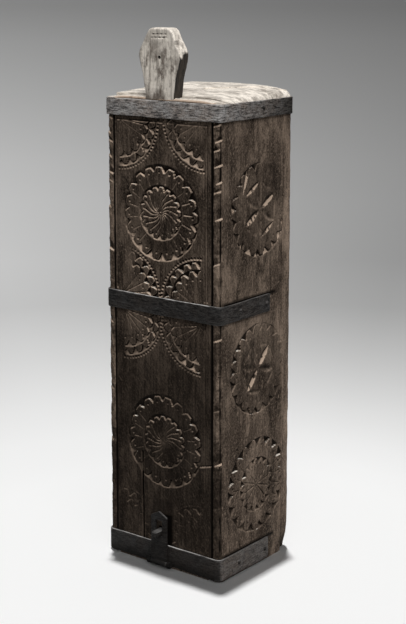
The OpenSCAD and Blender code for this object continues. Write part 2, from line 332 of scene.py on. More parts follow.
def skin(name, parts, tone=None, dents=None):
    """A mesh over grids of rings in millimetres, each grid joined end to start or capped, then dented."""
    verts, faces, start = [], [], 0
    for grid, closed in parts:
        rows, around, _ = grid.shape
        index = np.arange(rows * around).reshape(rows, around) + start
        lines = np.concatenate([index, index[:1]]) if closed else index
        after = np.roll(lines, -1, axis=1)
        quads = np.stack([lines[:-1], after[:-1], after[1:], lines[1:]], axis=-1)
        faces.extend(quads.reshape(-1, 4).tolist())
        if not closed:
            faces.append(index[0, ::-1].tolist())
            faces.append(index[-1].tolist())
        verts.append(grid.reshape(-1, 3) * MM)
        start += rows * around
    mesh = bpy.data.meshes.new(name)
    mesh.from_pydata(np.concatenate(verts), [], faces)
    if tone is not None:
        stored = mesh.attributes.new("tone", "FLOAT", "POINT")
        stored.data.foreach_set("value", tone.astype(np.float32))
    mesh.validate()
    bm = bmesh.new()
    bm.from_mesh(mesh)
    bmesh.ops.recalc_face_normals(bm, faces=bm.faces[:])
    bm.to_mesh(mesh)
    bm.free()
    if dents:
        erode(mesh, **dents)
    mesh.shade_smooth()
    mesh.set_sharp_from_angle(angle=SHARP_ANGLE)
    return mesh


def add_piece(mesh, body, material, nodes):
    """Puts a mesh into the scene as a piece of the box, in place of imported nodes."""
    obj = bpy.data.objects.new(mesh.name, mesh)
    bpy.context.scene.collection.objects.link(obj)
    mesh.materials.append(material)
    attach(obj, body)
    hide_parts(*nodes)


def finish_nodes(material, *names):
    """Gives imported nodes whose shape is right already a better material."""
    for name in names:
        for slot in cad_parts[name].material_slots:
            slot.material = material


# Chip carving: depths of cut over a flat face, in millimetres

class CarvedFace:
    """A flat face of a board: the depth of cut, the tone and the dirt at each of its points."""

    half_wall = 0.25
    soft_end = 0.8

    def __init__(self, across, up):
        self.across = across
        self.up = up
        self.u, self.v = np.meshgrid(across, up)
        self.depth = np.zeros_like(self.u)
        self.tone = np.zeros_like(self.u)
        self.dirt = np.zeros_like(self.u)
        # Points that get a painted highlight, on walls that face the light
        self.bare_and_lit = np.zeros_like(self.u, dtype=bool)

    def window(self, u0, u1, v0, v1):
        """The part of the grid between two places across and two up."""
        rows = slice(*np.searchsorted(self.up, (v0, v1)))
        cols = slice(*np.searchsorted(self.across, (u0, u1)))
        return rows, cols

    def near(self, u, v, reach):
        """The part of the grid within reach of a point, and how far across and up it is from there."""
        where = self.window(u - reach, u + reach, v - reach, v + reach)
        return where, self.u[where] - u, self.v[where] - v

    def polar(self, u, v, reach):
        """The part of the grid within reach of a point, with its radius and angle round it."""
        where, du, dv = self.near(u, v, reach)
        return where, np.hypot(du, dv), np.arctan2(dv, du)

    def cut(self, where, depth):
        self.depth[where] = np.maximum(self.depth[where], depth)

    def line(self, start, end, half, depth):
        """A straight incised line of V section."""
        start, end = np.array(start), np.array(end)
        run_u, run_v = end - start
        length = math.hypot(run_u, run_v)
        where, _, _ = self.near(*(start + end) / 2, length / 2 + half)
        du, dv = self.u[where] - start[0], self.v[where] - start[1]
        along = np.clip((du * run_u + dv * run_v) / length ** 2, 0.0, 1.0)
        away = np.hypot(du - along * run_u, dv - along * run_v)
        self.cut(where, depth * ramp(away, half, 0.0))

    def dot(self, u, v, radius, depth):
        """A punched dot."""
        where, r, _ = self.polar(u, v, radius + 1.0)
        self.cut(where, depth * np.sqrt(np.clip(1.0 - (r / radius) ** 2, 0.0, 1.0)))

    def ring_of_dots(self, u, v, ring_radius, count, radius, depth, phase, arc=None):
        """Punched dots in a ring, or along an arc of it."""
        for i in range(count):
            angle = phase + FULL_TURN * i / count
            if inside_arc(np.array(angle), arc):
                self.dot(u + ring_radius * math.cos(angle), v + ring_radius * math.sin(angle),
                         radius, depth)

    def rim(self, u, v, outer, tip, valley, count, depth, phase, arc=None,
            blunt=1.8, fall=0.85, low=0.0):
        """A moat of hand-cut chips round tongues: its floor falls from the outer circle to their walls.

        The tongues reach from the valley to the tip, and by low further at the foot of the ring.
        """
        where, r, angle = self.polar(u, v, outer + 1.0)
        turn = ((angle - phase) / FULL_TURN * count) % count
        tooth = np.floor(turn).astype(int) % count
        rng = np.random.default_rng(int(abs(10 * outer + u + 3 * v)))
        lean = rng.uniform(-0.12, 0.12, count)
        length = rng.uniform(-0.5, 0.4, count)
        share = rng.uniform(0.8, 1.1, count)
        part = np.abs(2.0 * (turn - np.floor(turn)) - 1.0 + lean[tooth])
        middle = phase + FULL_TURN * (tooth + 0.5) / count
        end = tip + length[tooth] + low * np.clip(-np.sin(middle), 0.0, 1.0)
        tongue = valley + (end - valley) * np.clip(blunt * (1.0 - part), 0.0, 1.0)
        wall = ramp(r, tongue - self.half_wall, tongue + self.half_wall)
        gap = np.maximum(outer - tongue, 0.1)
        foot = depth * share[tooth] * (0.55 + 0.45 * gap / (outer - valley))
        floor = foot * np.clip((outer - r) / gap, 0.0, 1.0) ** fall
        self.cut(where, np.where(inside_arc(angle, arc), floor * wall, 0.0))

    def spokes(self, u, v, inner, outer, count, half, depth, phase, swirl=0.0, arc=None):
        """Lines from the inner to the outer radius, bent by swirl on the way."""
        where, r, angle = self.polar(u, v, outer + 1.0)
        bend = swirl * np.sin(QUARTER * np.clip(r / outer, 0.0, 1.0)) ** 2
        turn = (angle - phase - bend) / FULL_TURN * count
        away = np.abs(turn - np.round(turn)) * FULL_TURN / count * r
        ends = ramp(r, inner, inner + self.soft_end) * ramp(r, outer, outer - self.soft_end)
        cut = depth * ends * ramp(away, half, 0.0)
        self.cut(where, np.where(inside_arc(angle, arc), cut, 0.0))

    def petal(self, u, v, angle, near_end, far_end, half, depth, bare_and_lit=False):
        """A lens-shaped leaf of V section away from a point, with a painted highlight on one wall or not.
        """
        where, du, dv = self.near(u, v, far_end + 1.0)
        along = du * math.cos(angle) + dv * math.sin(angle)
        away = dv * math.cos(angle) - du * math.sin(angle)
        part = ramp(along, near_end, far_end)
        edge = half * 4.0 * part * (1.0 - part)
        self.cut(where, depth / half * np.clip(edge - np.abs(away), 0.0, None))
        # Painted highlight on the wall that faces the light
        if bare_and_lit:
            lower = -away * (math.sin(angle) + math.cos(angle))
            self.bare_and_lit[where] |= (np.abs(away) < 0.9 * edge) & (lower > -0.3)

    def brighten(self, u, v, inner, outer, arc):
        """Marks the chips between two radii along an arc for a painted highlight."""
        where, r, angle = self.polar(u, v, outer)
        band = (r > inner) & (r < outer) & inside_arc(angle, arc)
        self.bare_and_lit[where] |= band & (self.depth[where] > 0.5)

    def hole(self, u0, u1, v0, v1, depth):
        """A square hole, painted dark inside and just round it as shade."""
        dark = 0.8
        self.tone[self.window(u0 - dark, u1 + dark, v0 - dark, v1 + dark)] = TONE_BLACK
        self.cut(self.window(u0, u1, v0, v1), depth)

    def soil(self, u, v, radius, amount):
        """Old wax and dirt left on a round place."""
        where, r, _ = self.polar(u, v, radius)
        self.dirt[where] = np.maximum(self.dirt[where], amount * ramp(r, radius, radius - 2.0))

    def stain(self, u0, u1, v0, v1, amount):
        """A dark patch with soft edges: painted shade, such as the hasp and the bands cast on the wood.
        """
        inside = np.minimum.reduce([self.u - u0, u1 - self.u, self.v - v0, v1 - self.v])
        dark = np.minimum(self.tone, -amount * ramp(inside, 0.0, 3.0))
        self.tone = np.where(inside > 0.0, dark, self.tone)

    def rub(self, seed, cells, wear, spots):
        """Wears the carving down, in patches and in spots, and sets the tones of what is left."""
        shape = self.depth.shape
        field = smooth_share(seed, shape, cells)
        self.depth *= 1.0 - wear * np.clip(1.6 * field - 0.45, 0.0, 1.0)
        for u, v, reach, amount in spots:
            away = np.hypot(self.u - u, self.v - v) / reach
            self.depth *= 1.0 - np.clip(amount * np.exp(-away ** 2), 0.0, 1.0)
        # In the cuts the tone is their depth, which the finish darkens as painted shade with dirt;
        # elsewhere it is the dirt
        self.tone = np.where(self.depth > 0.2, np.clip(self.depth, 0.0, 1.5), -self.dirt)
        patchy = smooth_field(seed + 3, shape, (shape[0] // 4, shape[1] // 3))
        # Painted highlight on the marked points, in patches
        self.tone[self.bare_and_lit & (patchy > -0.3)] = TONE_LIT_AND_BARE

    def crack(self, start, end, half, depth, tone):
        """A split or a nick of its own tone."""
        before = self.depth.copy()
        self.line(start, end, half, depth)
        self.tone[self.depth > before + 0.2 * depth] = tone

    def weather(self, seed):
        """Adds the hollows, the raised grain, the pits and the roughness of an old board."""
        rows, cols = shape = self.depth.shape
        hollows = smooth_share(seed, shape, (14, 5))
        grain = smooth_share(seed + 1, shape, (12, 70))
        pits = np.clip(smooth_field(seed + 2, shape, (rows // 6, cols // 3)) - 0.4, 0.0, None)
        rough = smooth_share(seed + 3, shape, (rows // 4, cols // 4))
        self.depth += 0.35 * hollows + 0.2 * grain + 0.2 * pits + 0.14 * rough

    def round_edge(self, over, radius):
        """Rounds an edge off, from how far each point lies over the start of the round."""
        over = np.clip(over, 0.0, radius)
        self.depth += radius - np.sqrt(radius ** 2 - over ** 2)


def carve_rosette(face, u, v, carving, phase, whirl=True, dirt=0.16, tip=2.8, blunt=1.8, fall=0.85):
    """A rosette with a rim of dotted tongues and a whirl on its inner disc."""
    outer, disc = carving.rosette_radius / MM, carving.disc_radius / MM
    chip, fine = carving.chip_depth / MM, carving.line_depth / MM
    count, inner_count = carving.tongues, carving.tongues - 2
    valley, inner_valley = outer - 8.4, disc - 6.0
    inner_phase = phase + 0.1
    face.soil(u, v, outer, dirt)
    face.rim(u, v, outer, outer - tip, valley, count, chip, phase,
             blunt=blunt, fall=fall, low=0.55 * tip)
    face.spokes(u, v, disc + 0.6, valley + 0.8, count,
                half=0.7, depth=0.7 * fine, phase=phase, swirl=-0.10)
    face.ring_of_dots(u, v, valley + 0.6, count, radius=1.1, depth=1.0, phase=phase + math.pi / count)
    face.rim(u, v, disc, disc - 0.85 * tip, inner_valley, inner_count, 0.75 * chip, inner_phase,
             blunt=blunt, fall=fall, low=0.4 * tip)
    face.ring_of_dots(u, v, inner_valley - 0.4, inner_count, radius=0.9, depth=0.8,
                      phase=inner_phase + math.pi / inner_count)
    if whirl:
        face.spokes(u, v, 0.2, inner_valley + 1.0, inner_count,
                    half=0.65, depth=1.05 * fine, phase=inner_phase, swirl=-0.55)


def carve_fan(face, u, v, start, carving):
    """A quarter fan in the corner at u, v: radial lines, two rows of chips and a dotted arc."""
    reach = carving.fan_radius / MM
    chip, fine = carving.chip_depth / MM, carving.line_depth / MM
    arc = (start, start + QUARTER)
    inner_phase = start + 0.17
    for outer, tip, valley, count, depth, phase in (
            (2.2, 3.5, 9.8, 24, chip, start + 0.05),
            (10.4, 11.7, 17.0, 20, 0.9 * chip, inner_phase)):
        face.rim(u, v, reach - outer, reach - tip, reach - valley, count, depth, phase, arc,
                 blunt=1.5, fall=0.75)
    face.spokes(u, v, 2.0, reach - 17.5, 20, half=0.6, depth=0.65 * fine, phase=inner_phase, arc=arc)
    face.ring_of_dots(u, v, reach - 20.0, 20, radius=0.9, depth=0.8, phase=start + 0.33, arc=arc)
    face.ring_of_dots(u, v, reach, 84, radius=1.25, depth=1.1, phase=start, arc=arc)


def carve_flower(face, u, v, outer, count, carving, phase, lit_arcs=()):
    """A side rosette: a rim of tongues round a flower of six leaves, two of them deep with a painted
    highlight on one wall; the listed arcs are cut deeper and get one too.
    """
    chip, fine = carving.chip_depth / MM, carving.line_depth / MM
    leaf = outer - 18.0
    face.soil(u, v, outer, 0.2)
    face.rim(u, v, outer, outer - 1.1, outer - 7.8, count, 0.8 * chip, phase, blunt=1.4, fall=0.6)
    face.spokes(u, v, outer - 15.0, outer - 8.0, count, half=0.6, depth=0.5 * fine, phase=phase)
    face.ring_of_dots(u, v, outer - 10.0, count, radius=0.9, depth=0.7, phase=phase + math.pi / count)
    for i in range(6):
        angle = phase + math.pi / 3 * i
        deep = i % 3 == 0
        bare_and_lit = i in lit_arcs
        leaf_depth = (0.85 if deep else 0.4) * chip
        arc_depth = (0.6 if bare_and_lit else 0.25) * chip
        tip_u, tip_v = u + leaf * math.cos(angle), v + leaf * math.sin(angle)
        face.petal(u, v, angle, 1.0, leaf, half=4.4, depth=leaf_depth, bare_and_lit=deep)
        face.petal(tip_u, tip_v, angle + math.pi / 1.5, 1.0, leaf - 1.0,
                   half=3.0, depth=arc_depth, bare_and_lit=bare_and_lit)


# Finishes

GRAIN_UP = (380.0, 380.0, 13.0)
GRAIN_ACROSS = (13.0, 380.0, 380.0)


class Coat:
    """A material in the making, and the colour that is laid on it so far."""

    def __init__(self, name, colour=None):
        self.material = bpy.data.materials.new(name)
        self.material.use_nodes = True
        self.tree = self.material.node_tree
        self.tree.nodes.clear()
        self.shader = self.add("ShaderNodeBsdfPrincipled")
        self.add("ShaderNodeOutputMaterial", {"Surface": self.shader.outputs[0]})
        coords = self.add("ShaderNodeTexCoord").outputs
        self.place = coords["Object"]
        self.normal = coords["Normal"]
        self.colour = colour

    def add(self, kind, inputs=None, **settings):
        """Adds a node, sets its options, and sets or links its inputs."""
        made = self.tree.nodes.new(kind)
        for key, value in settings.items():
            setattr(made, key, value)
        for key, value in (inputs or {}).items():
            self.feed(made.inputs[key], value)
        return made

    def feed(self, socket, value):
        """Links another socket to this one, or sets its value."""
        if isinstance(value, bpy.types.NodeSocket):
            self.tree.links.new(value, socket)
        elif socket.type == "RGBA":
            socket.default_value = (*value, 1.0)
        else:
            socket.default_value = value

    def grain(self, scale, detail, roughness, distortion=0.0, turn=None):
        """Noise that is finer along the axes with the larger scale, over places turned first."""
        place = self.place
        if turn:
            place = self.add("ShaderNodeMapping", {"Vector": place, "Rotation": turn}).outputs[0]
        place = self.add("ShaderNodeMapping", {"Vector": place, "Scale": scale}).outputs[0]
        return self.add("ShaderNodeTexNoise", {
            "Vector": place, "Scale": 1.0, "Detail": detail,
            "Roughness": roughness, "Distortion": distortion}).outputs["Fac"]

    def edges(self):
        """How far each point stands out: over a half on edges, under it in cuts."""
        return self.add("ShaderNodeNewGeometry").outputs["Pointiness"]

    def split(self, vector):
        """The parts of a vector, by axis."""
        return self.add("ShaderNodeSeparateXYZ", {0: vector}).outputs

    def remap(self, value, low, high, to_low=0.0, to_high=1.0):
        """Maps a value from one range to another, held at its ends."""
        return self.add("ShaderNodeMapRange", {
            "Value": value, "From Min": low, "From Max": high,
            "To Min": to_low, "To Max": to_high}).outputs[0]

    def maths(self, operation, first, second=0.0):
        return self.add("ShaderNodeMath", {0: first, 1: second}, operation=operation).outputs[0]

    def times(self, first, second):
        return self.maths("MULTIPLY", first, second)

    def mix(self, share, first, second):
        """Mixes two colours, each a socket or a plain colour."""
        colours = {"Factor": share, 6: first, 7: second}
        return self.add("ShaderNodeMix", colours, data_type="RGBA").outputs[2]

    def lay(self, share, colour):
        """Lays a colour over the one so far."""
        self.colour = self.mix(share, self.colour, colour)

    def lay_all(self, layers):
        """Lays colours in order, each where a value passes from one level to another."""
        for value, none, full, most, colour in layers:
            self.lay(self.remap(value, none, full, 0.0, most), colour)

    def dim(self, level):
        """Takes the colour so far down, or up, to a level."""
        dimmed = {0: self.colour, "Scale": level}
        self.colour = self.add("ShaderNodeVectorMath", dimmed, operation="SCALE").outputs[0]

    def bump(self, height, strength, distance):
        """Fine relief in the surface."""
        return self.add("ShaderNodeBump", {
            "Height": height, "Strength": strength, "Distance": distance}).outputs[0]

    def done(self, sockets):
        """Sets or links the shader's sockets, and gives the finished material."""
        for key, value in {"Base Color": self.colour, **sockets}.items():
            self.feed(self.shader.inputs[key], value)
        return self.material


def old_wood(name, finish, lift, streaks, bare_and_lit, mottle, foot=0.0, pale_top=0.9):
    """Dark waxed wood: open grain, rubbed edges, dirt, black joints and cracks, a painted highlight where
    cuts look up, and painted shade in the cuts, with dirt, and under what faces down.
    """
    base = scaled(finish.old_wood, lift)
    rubbed = scaled(finish.rubbed_wood, lift)
    light = scaled(rubbed, 1.5)
    dark = scaled(base, 0.15)
    black = scaled(base, 0.1)
    # Fresh rubbed wood, also the colour of the painted highlights
    fresh_and_lit = scaled(finish.rubbed_wood, 3.6)
    coat = Coat(name, base)
    streak = coat.grain(GRAIN_UP, 6.0, 0.66, 0.5)
    pores = coat.grain(scaled(GRAIN_UP, 3.4), 3.0, 0.7)
    cloud = coat.grain((26.0, 26.0, 13.0), 5.0, 0.6)
    patch = coat.grain((60.0, 60.0, 22.0), 6.0, 0.7, 0.6)
    speck = coat.grain((760.0, 760.0, 500.0), 3.0, 0.6)
    scratch = coat.grain((520.0, 520.0, 60.0), 3.0, 0.55, turn=(0.35, 0.5, 0.0))
    edge = coat.edges()
    tone = coat.add("ShaderNodeAttribute", attribute_name="tone").outputs["Fac"]
    up = coat.split(coat.normal)["Z"]
    high = coat.split(coat.place)["Z"]
    coat.lay(coat.remap(streak, 0.40, 0.64, 0.45 - 0.5 * streaks, 0.45 + 0.5 * streaks), rubbed)
    coat.lay_all((
        (cloud, 0.47, 0.60, 0.85, base),
        (cloud, 0.46, 0.36, 0.5, light),
        (patch, 0.52, 0.66, 0.95 * mottle, light),
        (patch, 0.48, 0.36, mottle, dark),
        (speck, 0.53, 0.66, 0.4, light),
        (speck, 0.47, 0.36, 0.5, dark),
        (scratch, 0.60, 0.70, 0.6, light),
        (scratch, 0.40, 0.30, 0.7, dark),
        (pores, 0.58, 0.68, 0.75, dark),
        # Darker where the tone is a little low: dirt, and the soft edges and faint parts of the painted
        # shade
        (tone, -0.02, -0.28, 0.5, dark),
        # Darker with the depth of the cut: painted shade in the cuts, with dirt
        (tone, 0.3, 1.1, 0.85, dark)))
    patchiness = coat.remap(patch, 0.42, 0.54, 0.45, 1.0)
    worn_edges = coat.remap(edge, 0.515, 0.57, 0.0, 0.55 * bare_and_lit)
    # Lighter where the cuts look up: painted light
    lit_cuts = coat.remap(up, 0.06, 0.34, 0.0, bare_and_lit)
    coat.lay(coat.times(worn_edges, patchiness), fresh_and_lit)
    coat.lay(coat.times(lit_cuts, patchiness), fresh_and_lit)
    end_grain = coat.mix(coat.remap(streak, 0.50, 0.36, 0.0, 0.4), finish.pale_wood, finish.grime)
    end_grain = coat.mix(coat.remap(patch, 0.47, 0.38, 0.0, 0.5), end_grain, finish.grime)
    coat.lay_all((
        (high, 0.26, 0.20, foot, dark),
        # Light tones: the painted highlight on lit walls, arcs and notches, and a rubbed nick
        (tone, 1.7, TONE_LIT_AND_BARE, 0.8, fresh_and_lit),
        (up, 0.75, 0.95, pale_top, end_grain),
        # Darker where surfaces face down: painted shade
        (up, -0.08, -0.30, 0.9, dark),
        # Darker in concave creases and cuts: painted shade, with dirt
        (edge, 0.485, 0.44, 0.75, dark),
        # Black for joints and cracks, and for the painted shade of the hasp, the bands and the peg hole
        (tone, -0.4, -0.9, 1.0, black)))
    relief = coat.maths("ADD", coat.times(pores, -0.6), coat.maths("ADD", streak, speck))
    return coat.done({
        "Roughness": coat.remap(cloud, 0.3, 0.7, 0.5, 0.75),
        "Specular IOR Level": 0.03,
        "Normal": coat.bump(relief, 0.5, 0.0006)})


def pale_wood(name, finish, grain, dirt, shaded_sides=False):
    """Bare pale wood with dirt along the grain, and painted shade on the faces that look sideways or
    down.
    """
    grime = finish.grime
    coat = Coat(name, finish.pale_wood)
    streak = coat.grain(grain, 6.0, 0.66, 0.8)
    pores = coat.grain(scaled(grain, 3.0), 3.0, 0.7)
    cloud = coat.grain((40.0, 40.0, 34.0), 6.0, 0.65)
    stain = coat.grain(tuple(0.25 * scale + 55.0 for scale in grain), 5.0, 0.7)
    high = coat.split(coat.place)["Z"]
    held = coat.remap(high, 0.50, 0.525, dirt, 0.4 * dirt)
    coat.lay(coat.remap(streak, 0.36, 0.62), scaled(finish.pale_wood, 1.22, 1.0))
    coat.lay(coat.times(coat.remap(cloud, 0.50, 0.66), held), grime)
    coat.lay(coat.times(coat.remap(stain, 0.48, 0.62), held), grime)
    coat.lay_all((
        (streak, 0.46, 0.34, 0.7 * dirt, grime),
        (pores, 0.58, 0.68, 0.6, grime)))
    if shaded_sides:
        # Painted shade on faces that look sideways or down: dark, with lighter streaks
        facing = coat.split(coat.normal)
        aside = coat.remap(coat.maths("ABSOLUTE", facing["Y"]), 0.95, 0.78)
        below = coat.remap(facing["Z"], 0.3, 0.1)
        side_shade = scaled(finish.rubbed_wood, 0.05)
        worn = scaled(finish.rubbed_wood, 0.34)
        shaded_side_colour = coat.mix(coat.remap(streak, 0.42, 0.62), side_shade, worn)
        coat.lay(coat.times(aside, below), shaded_side_colour)
    relief = coat.maths("ADD", streak, coat.times(pores, -0.7))
    return coat.done({
        "Roughness": coat.remap(stain, 0.3, 0.7, 0.5, 0.75),
        "Normal": coat.bump(relief, 0.35, 0.0006)})


def forged_iron(name, finish, lift, shine, sides=1.0, far=1.0, streaks=0.85):
    """Dark hammered iron with drawn streaks, pits and rubbed edges; sideways faces painted lighter or
    darker, painted shade towards the back and the floor, and a painted highlight on up-facing tops.
    """
    base = scaled(finish.iron, lift)
    rust = tuple(part * warm for part, warm in zip(base, (1.12, 0.97, 0.86)))
    dark = scaled(base, 0.18)
    light = scaled(base, 1.8, 0.6)
    coat = Coat(name, base)
    hammer = coat.grain((150.0, 150.0, 150.0), 3.0, 0.5)
    pits = coat.grain((620.0, 620.0, 620.0), 4.0, 0.65)
    drawn = coat.grain((160.0, 160.0, 800.0), 5.0, 0.7)
    scale = coat.grain((40.0, 40.0, 40.0), 6.0, 0.68)
    facing = coat.split(coat.normal)
    place = coat.split(coat.place)
    coat.lay_all((
        (scale, 0.40, 0.66, 1.0, rust),
        (drawn, 0.46, 0.34, streaks, light),
        (drawn, 0.50, 0.60, streaks, dark),
        (pits, 0.53, 0.64, 0.8, dark)))
    # Sideways faces lighter or darker by sides, and darker towards the back by far: painted light and
    # shade
    aside = coat.remap(coat.maths("ABSOLUTE", facing["X"]), 0.7, 0.95)
    ahead = coat.maths("SUBTRACT", 1.0, aside)
    faded = coat.remap(place["Y"], -0.04, 0.055, sides, far * sides)
    coat.dim(coat.maths("ADD", coat.times(aside, faded), ahead))
    # Darker towards the floor on faces that look ahead: painted shade at the floor contact
    foot = coat.remap(place["Z"], 0.014, 0.002, 0.0, 0.75)
    coat.lay(coat.times(foot, ahead), dark)
    # Rubbed iron on the edges, mostly at the front: partly wear, partly painted highlight
    front = coat.remap(place["Y"], -0.06, -0.05, 1.0, 0.12)
    worn = coat.times(coat.remap(scale, 0.42, 0.56, 0.25, 1.0), front)
    edges = coat.remap(coat.edges(), 0.52, 0.60, 0.0, shine)
    coat.lay(coat.times(edges, worn), finish.bright_iron)
    # A brighter copy on up-facing tops above the foot: painted highlight
    high = coat.remap(place["Z"], 0.009, 0.016, 0.0, shine)
    up = coat.remap(facing["Z"], 0.25, 0.7)
    coat.lay(coat.times(up, coat.times(high, worn)), scaled(finish.bright_iron, 2.2))
    relief = coat.maths("ADD", hammer, coat.times(pits, -0.45))
    relief = coat.maths("ADD", relief, coat.times(drawn, 0.4))
    return coat.done({
        "Metallic": 0.15,
        "Specular IOR Level": 0.1,
        "Roughness": coat.remap(scale, 0.3, 0.7, 0.5, 0.75),
        "Normal": coat.bump(relief, 0.45, 0.0009)})


FINISHES = {
    "panel_wood": (old_wood, {"lift": 0.86, "streaks": 0.95, "bare_and_lit": 0.88, "mottle": 0.6, "foot": 0.57}),
    "case_wood": (old_wood, {"lift": 1.48, "streaks": 0.6, "bare_and_lit": 0.1, "mottle": 0.7}),
    "back_wood": (old_wood, {"lift": 1.9, "streaks": 0.9, "bare_and_lit": 0.0, "mottle": 0.3, "pale_top": 0.0}),
    "handle_wood": (pale_wood, {"grain": GRAIN_UP, "dirt": 0.9, "shaded_sides": True}),
    "top_wood": (pale_wood, {"grain": GRAIN_ACROSS, "dirt": 0.6}),
    # For iron, sides and far paint light and shade on the sideways faces; shine sets the rubbed edges and
    # the painted highlight
    "band_iron": (forged_iron, {"lift": 0.35, "shine": 0.8, "sides": 1.4, "streaks": 0.95}),
    "rubbed_band_iron": (forged_iron, {
        "lift": 3.5, "shine": 0.7, "sides": 0.85, "far": 0.14, "streaks": 1.0}),
    "dusty_band_iron": (forged_iron, {"lift": 0.35, "shine": 0.6, "sides": 3.7, "streaks": 0.6}),
    "hasp_iron": (forged_iron, {"lift": 0.2, "shine": 0.14}),
    # A darker copy of the hasp's iron for the hinge: painted shade
    "hinge_iron": (forged_iron, {"lift": 0.13, "shine": 0.0}),
}


def finish_of(context, name):
    """The named material, made the first time that it is asked for."""
    material = bpy.data.materials.get(name)
    if material is None:
        make, amounts = FINISHES[name]
        material = make(name, context.scene.box_finish, **amounts)
    return material


# Pieces

class BOX_OT_sliding_panel(bpy.types.Operator):
    """Carves the sliding panel and shapes its worn handle"""
    bl_idname = "candle_box.sliding_panel"
    bl_label = "Sliding panel"

    edge_round = 2.0
    top_round = 2.6
    top_sag = 2.3
    # Place and turn of the rosettes, and place and quarter turns of the fans
    rosettes = ((-2.4, 354.4, 0.12), (1.4, 128.8, 0.30))
    fans = ((-53.5, 442.0, 3), (50.0, 446.5, 2), (-51.5, 269.5, 0), (46.5, 267.0, 1),
            (-48.5, 254.0, 3), (45.5, 251.0, 2), (-52.0, 24.0, 0), (47.0, 24.0, 1))
    # Place, inner and outer radius, first and last quarter turn of the chips that get a painted highlight
    lit_arcs = ((50.0, 446.5, 29.0, 46.5, 2.62, 3.0), (45.5, 251.0, 29.0, 46.5, 2.62, 3.0),
                 (-2.4, 354.4, 39.0, 46.6, 2.3, 3.35), (-2.4, 354.4, 21.4, 26.6, 2.1, 3.1))
    # Ends of the border lines, and half their width and their depth
    border = (((51.2, 275.0), (51.2, 441.0)), ((54.2, 275.0), (54.2, 441.0)),
              ((52.0, 60.0), (52.0, 253.0)), ((-57.0, 275.0), (-57.0, 441.0)),
              ((-56.0, 441.0), (53.0, 441.0)))
    border_cut = (0.8, 1.0)
    # Place, reach and share of the spots that are rubbed flat
    rubbed = ((-50, 415, 24, 0.6), (-48, 380, 20, 0.4), (-46, 308, 20, 0.95), (-4, 126, 62, 0.45),
              (5, 195, 25, 0.6), (-44, 52, 40, 0.8), (40, 52, 40, 0.8), (-10, 42, 24, 0.9),
              (10, 42, 24, 0.9))
    # Left, right, low and high edge and darkness of the painted shadows of the hasp, beside it and round
    # its tip
    hasp_shadows = ((0.0, 13.0, 14.0, 56.0, 1.0), (-13.0, 14.0, 50.0, 70.0, 0.28))
    # Ends, half width, depth and tone of the split and of the bare nick
    cracks = (((-26.2, 112.0), (-25.6, 20.0), 1.3, 3.0, TONE_BLACK),
              ((46.0, 112.0), (59.0, 115.4), 0.9, 1.0, TONE_LIT_AND_BARE))
    peg_hole_depth = 8.0
    wear_seed, wear_cells, weather_seed = 11, (22, 7), 21

    handle_x = -3.0
    handle_front = 0.2
    handle_edge = 2.4
    # Half width, height over the panel's top and rounding of the handle's corners
    handle_half = ((17.6, -4.0, 0.0), (20.5, 17.5, 40.0), (27.25, 40.5, 15.0), (13.0, 65.5, 7.0))
    hole_z = 37.5
    hole_radius = 1.3
    hole_rim = 0.5
    # Height and slant of the scored lines, and place, reach and depth of the broken edges
    score_lines = ((523.6, 0.012), (520.4, 0.02))
    broken = ((20.0, -55.0, 513.0, 6.0, 2.2), (23.0, -54.0, 506.0, 5.0, 1.8),
              (23.5, -49.0, 501.0, 4.0, 1.6), (17.0, -48.0, 520.0, 4.0, 1.0),
              (-17.0, -57.0, 472.0, 3.0, 0.8))
    handle_dents = {"bite": 0.8, "seed": 3, "coarse": 7.0, "fine": 2.2}

    def execute(self, context):
        board = self.board(context.scene.box_carving)
        handle = self.handle()
        add_piece(board, "panel", finish_of(context, "panel_wood"), ["sliding_panel"])
        add_piece(handle, "panel", finish_of(context, "handle_wood"), ["sliding_panel"])
        return {"FINISHED"}

    def board(self, carving):
        """A board with a carved front and flared edges, its top worn down at both ends."""
        step = carving.step / MM
        front, back = PANEL_LOW[1], PANEL_HIGH[1]
        wide = PANEL_HALF + PANEL_FLARE
        across = spread(-PANEL_HALF, PANEL_HALF, step)
        up = spread(PANEL_LOW[2], PANEL_TOP, step)
        face = CarvedFace(across, up)
        self.carve(face, carving)
        fore = np.stack([across, np.full_like(across, front)], axis=-1)
        edge = np.array([[PANEL_HALF + PANEL_FLARE * part, front + (back - front) * part]
                         for part in (0.35, 0.7, 1.0)])
        rear = np.array([[x, back] for x in np.linspace(wide, -wide, 12)[1:-1]])
        grid = stacked(np.concatenate([fore, edge, rear, edge[::-1] * (-1, 1)]), up)
        grid[:, :len(across), 1] += face.depth
        joint = (np.abs(face.u) > PANEL_HALF - self.edge_round) & (face.v < PANEL_TOP - 5.0)
        tone = np.zeros(grid.shape[:2])
        tone[:, :len(across)] = np.where(joint, TONE_BLACK, face.tone)
        ends = ramp(np.abs(grid[:, :, 0]), 44.0, 62.0)
        high = ramp(grid[:, :, 2], PANEL_TOP - 24.0, PANEL_TOP)
        grid[:, :, 2] -= self.top_sag * ends ** 2 * high
        return skin("carved_panel", [(grid, False)], tone.ravel())

    def carve(self, face, carving):
        for u, v, phase in self.rosettes:
            carve_rosette(face, u, v, carving, phase)
        for u, v, turns in self.fans:
            carve_fan(face, u, v, turns * QUARTER, carving)
        # Painted highlight on the chips along these arcs
        for u, v, inner, outer, first, last in self.lit_arcs:
            face.brighten(u, v, inner, outer, (first * QUARTER, last * QUARTER))
        for start, end in self.border:
            face.line(start, end, *self.border_cut)
        face.rub(self.wear_seed, self.wear_cells, carving.wear, self.rubbed)
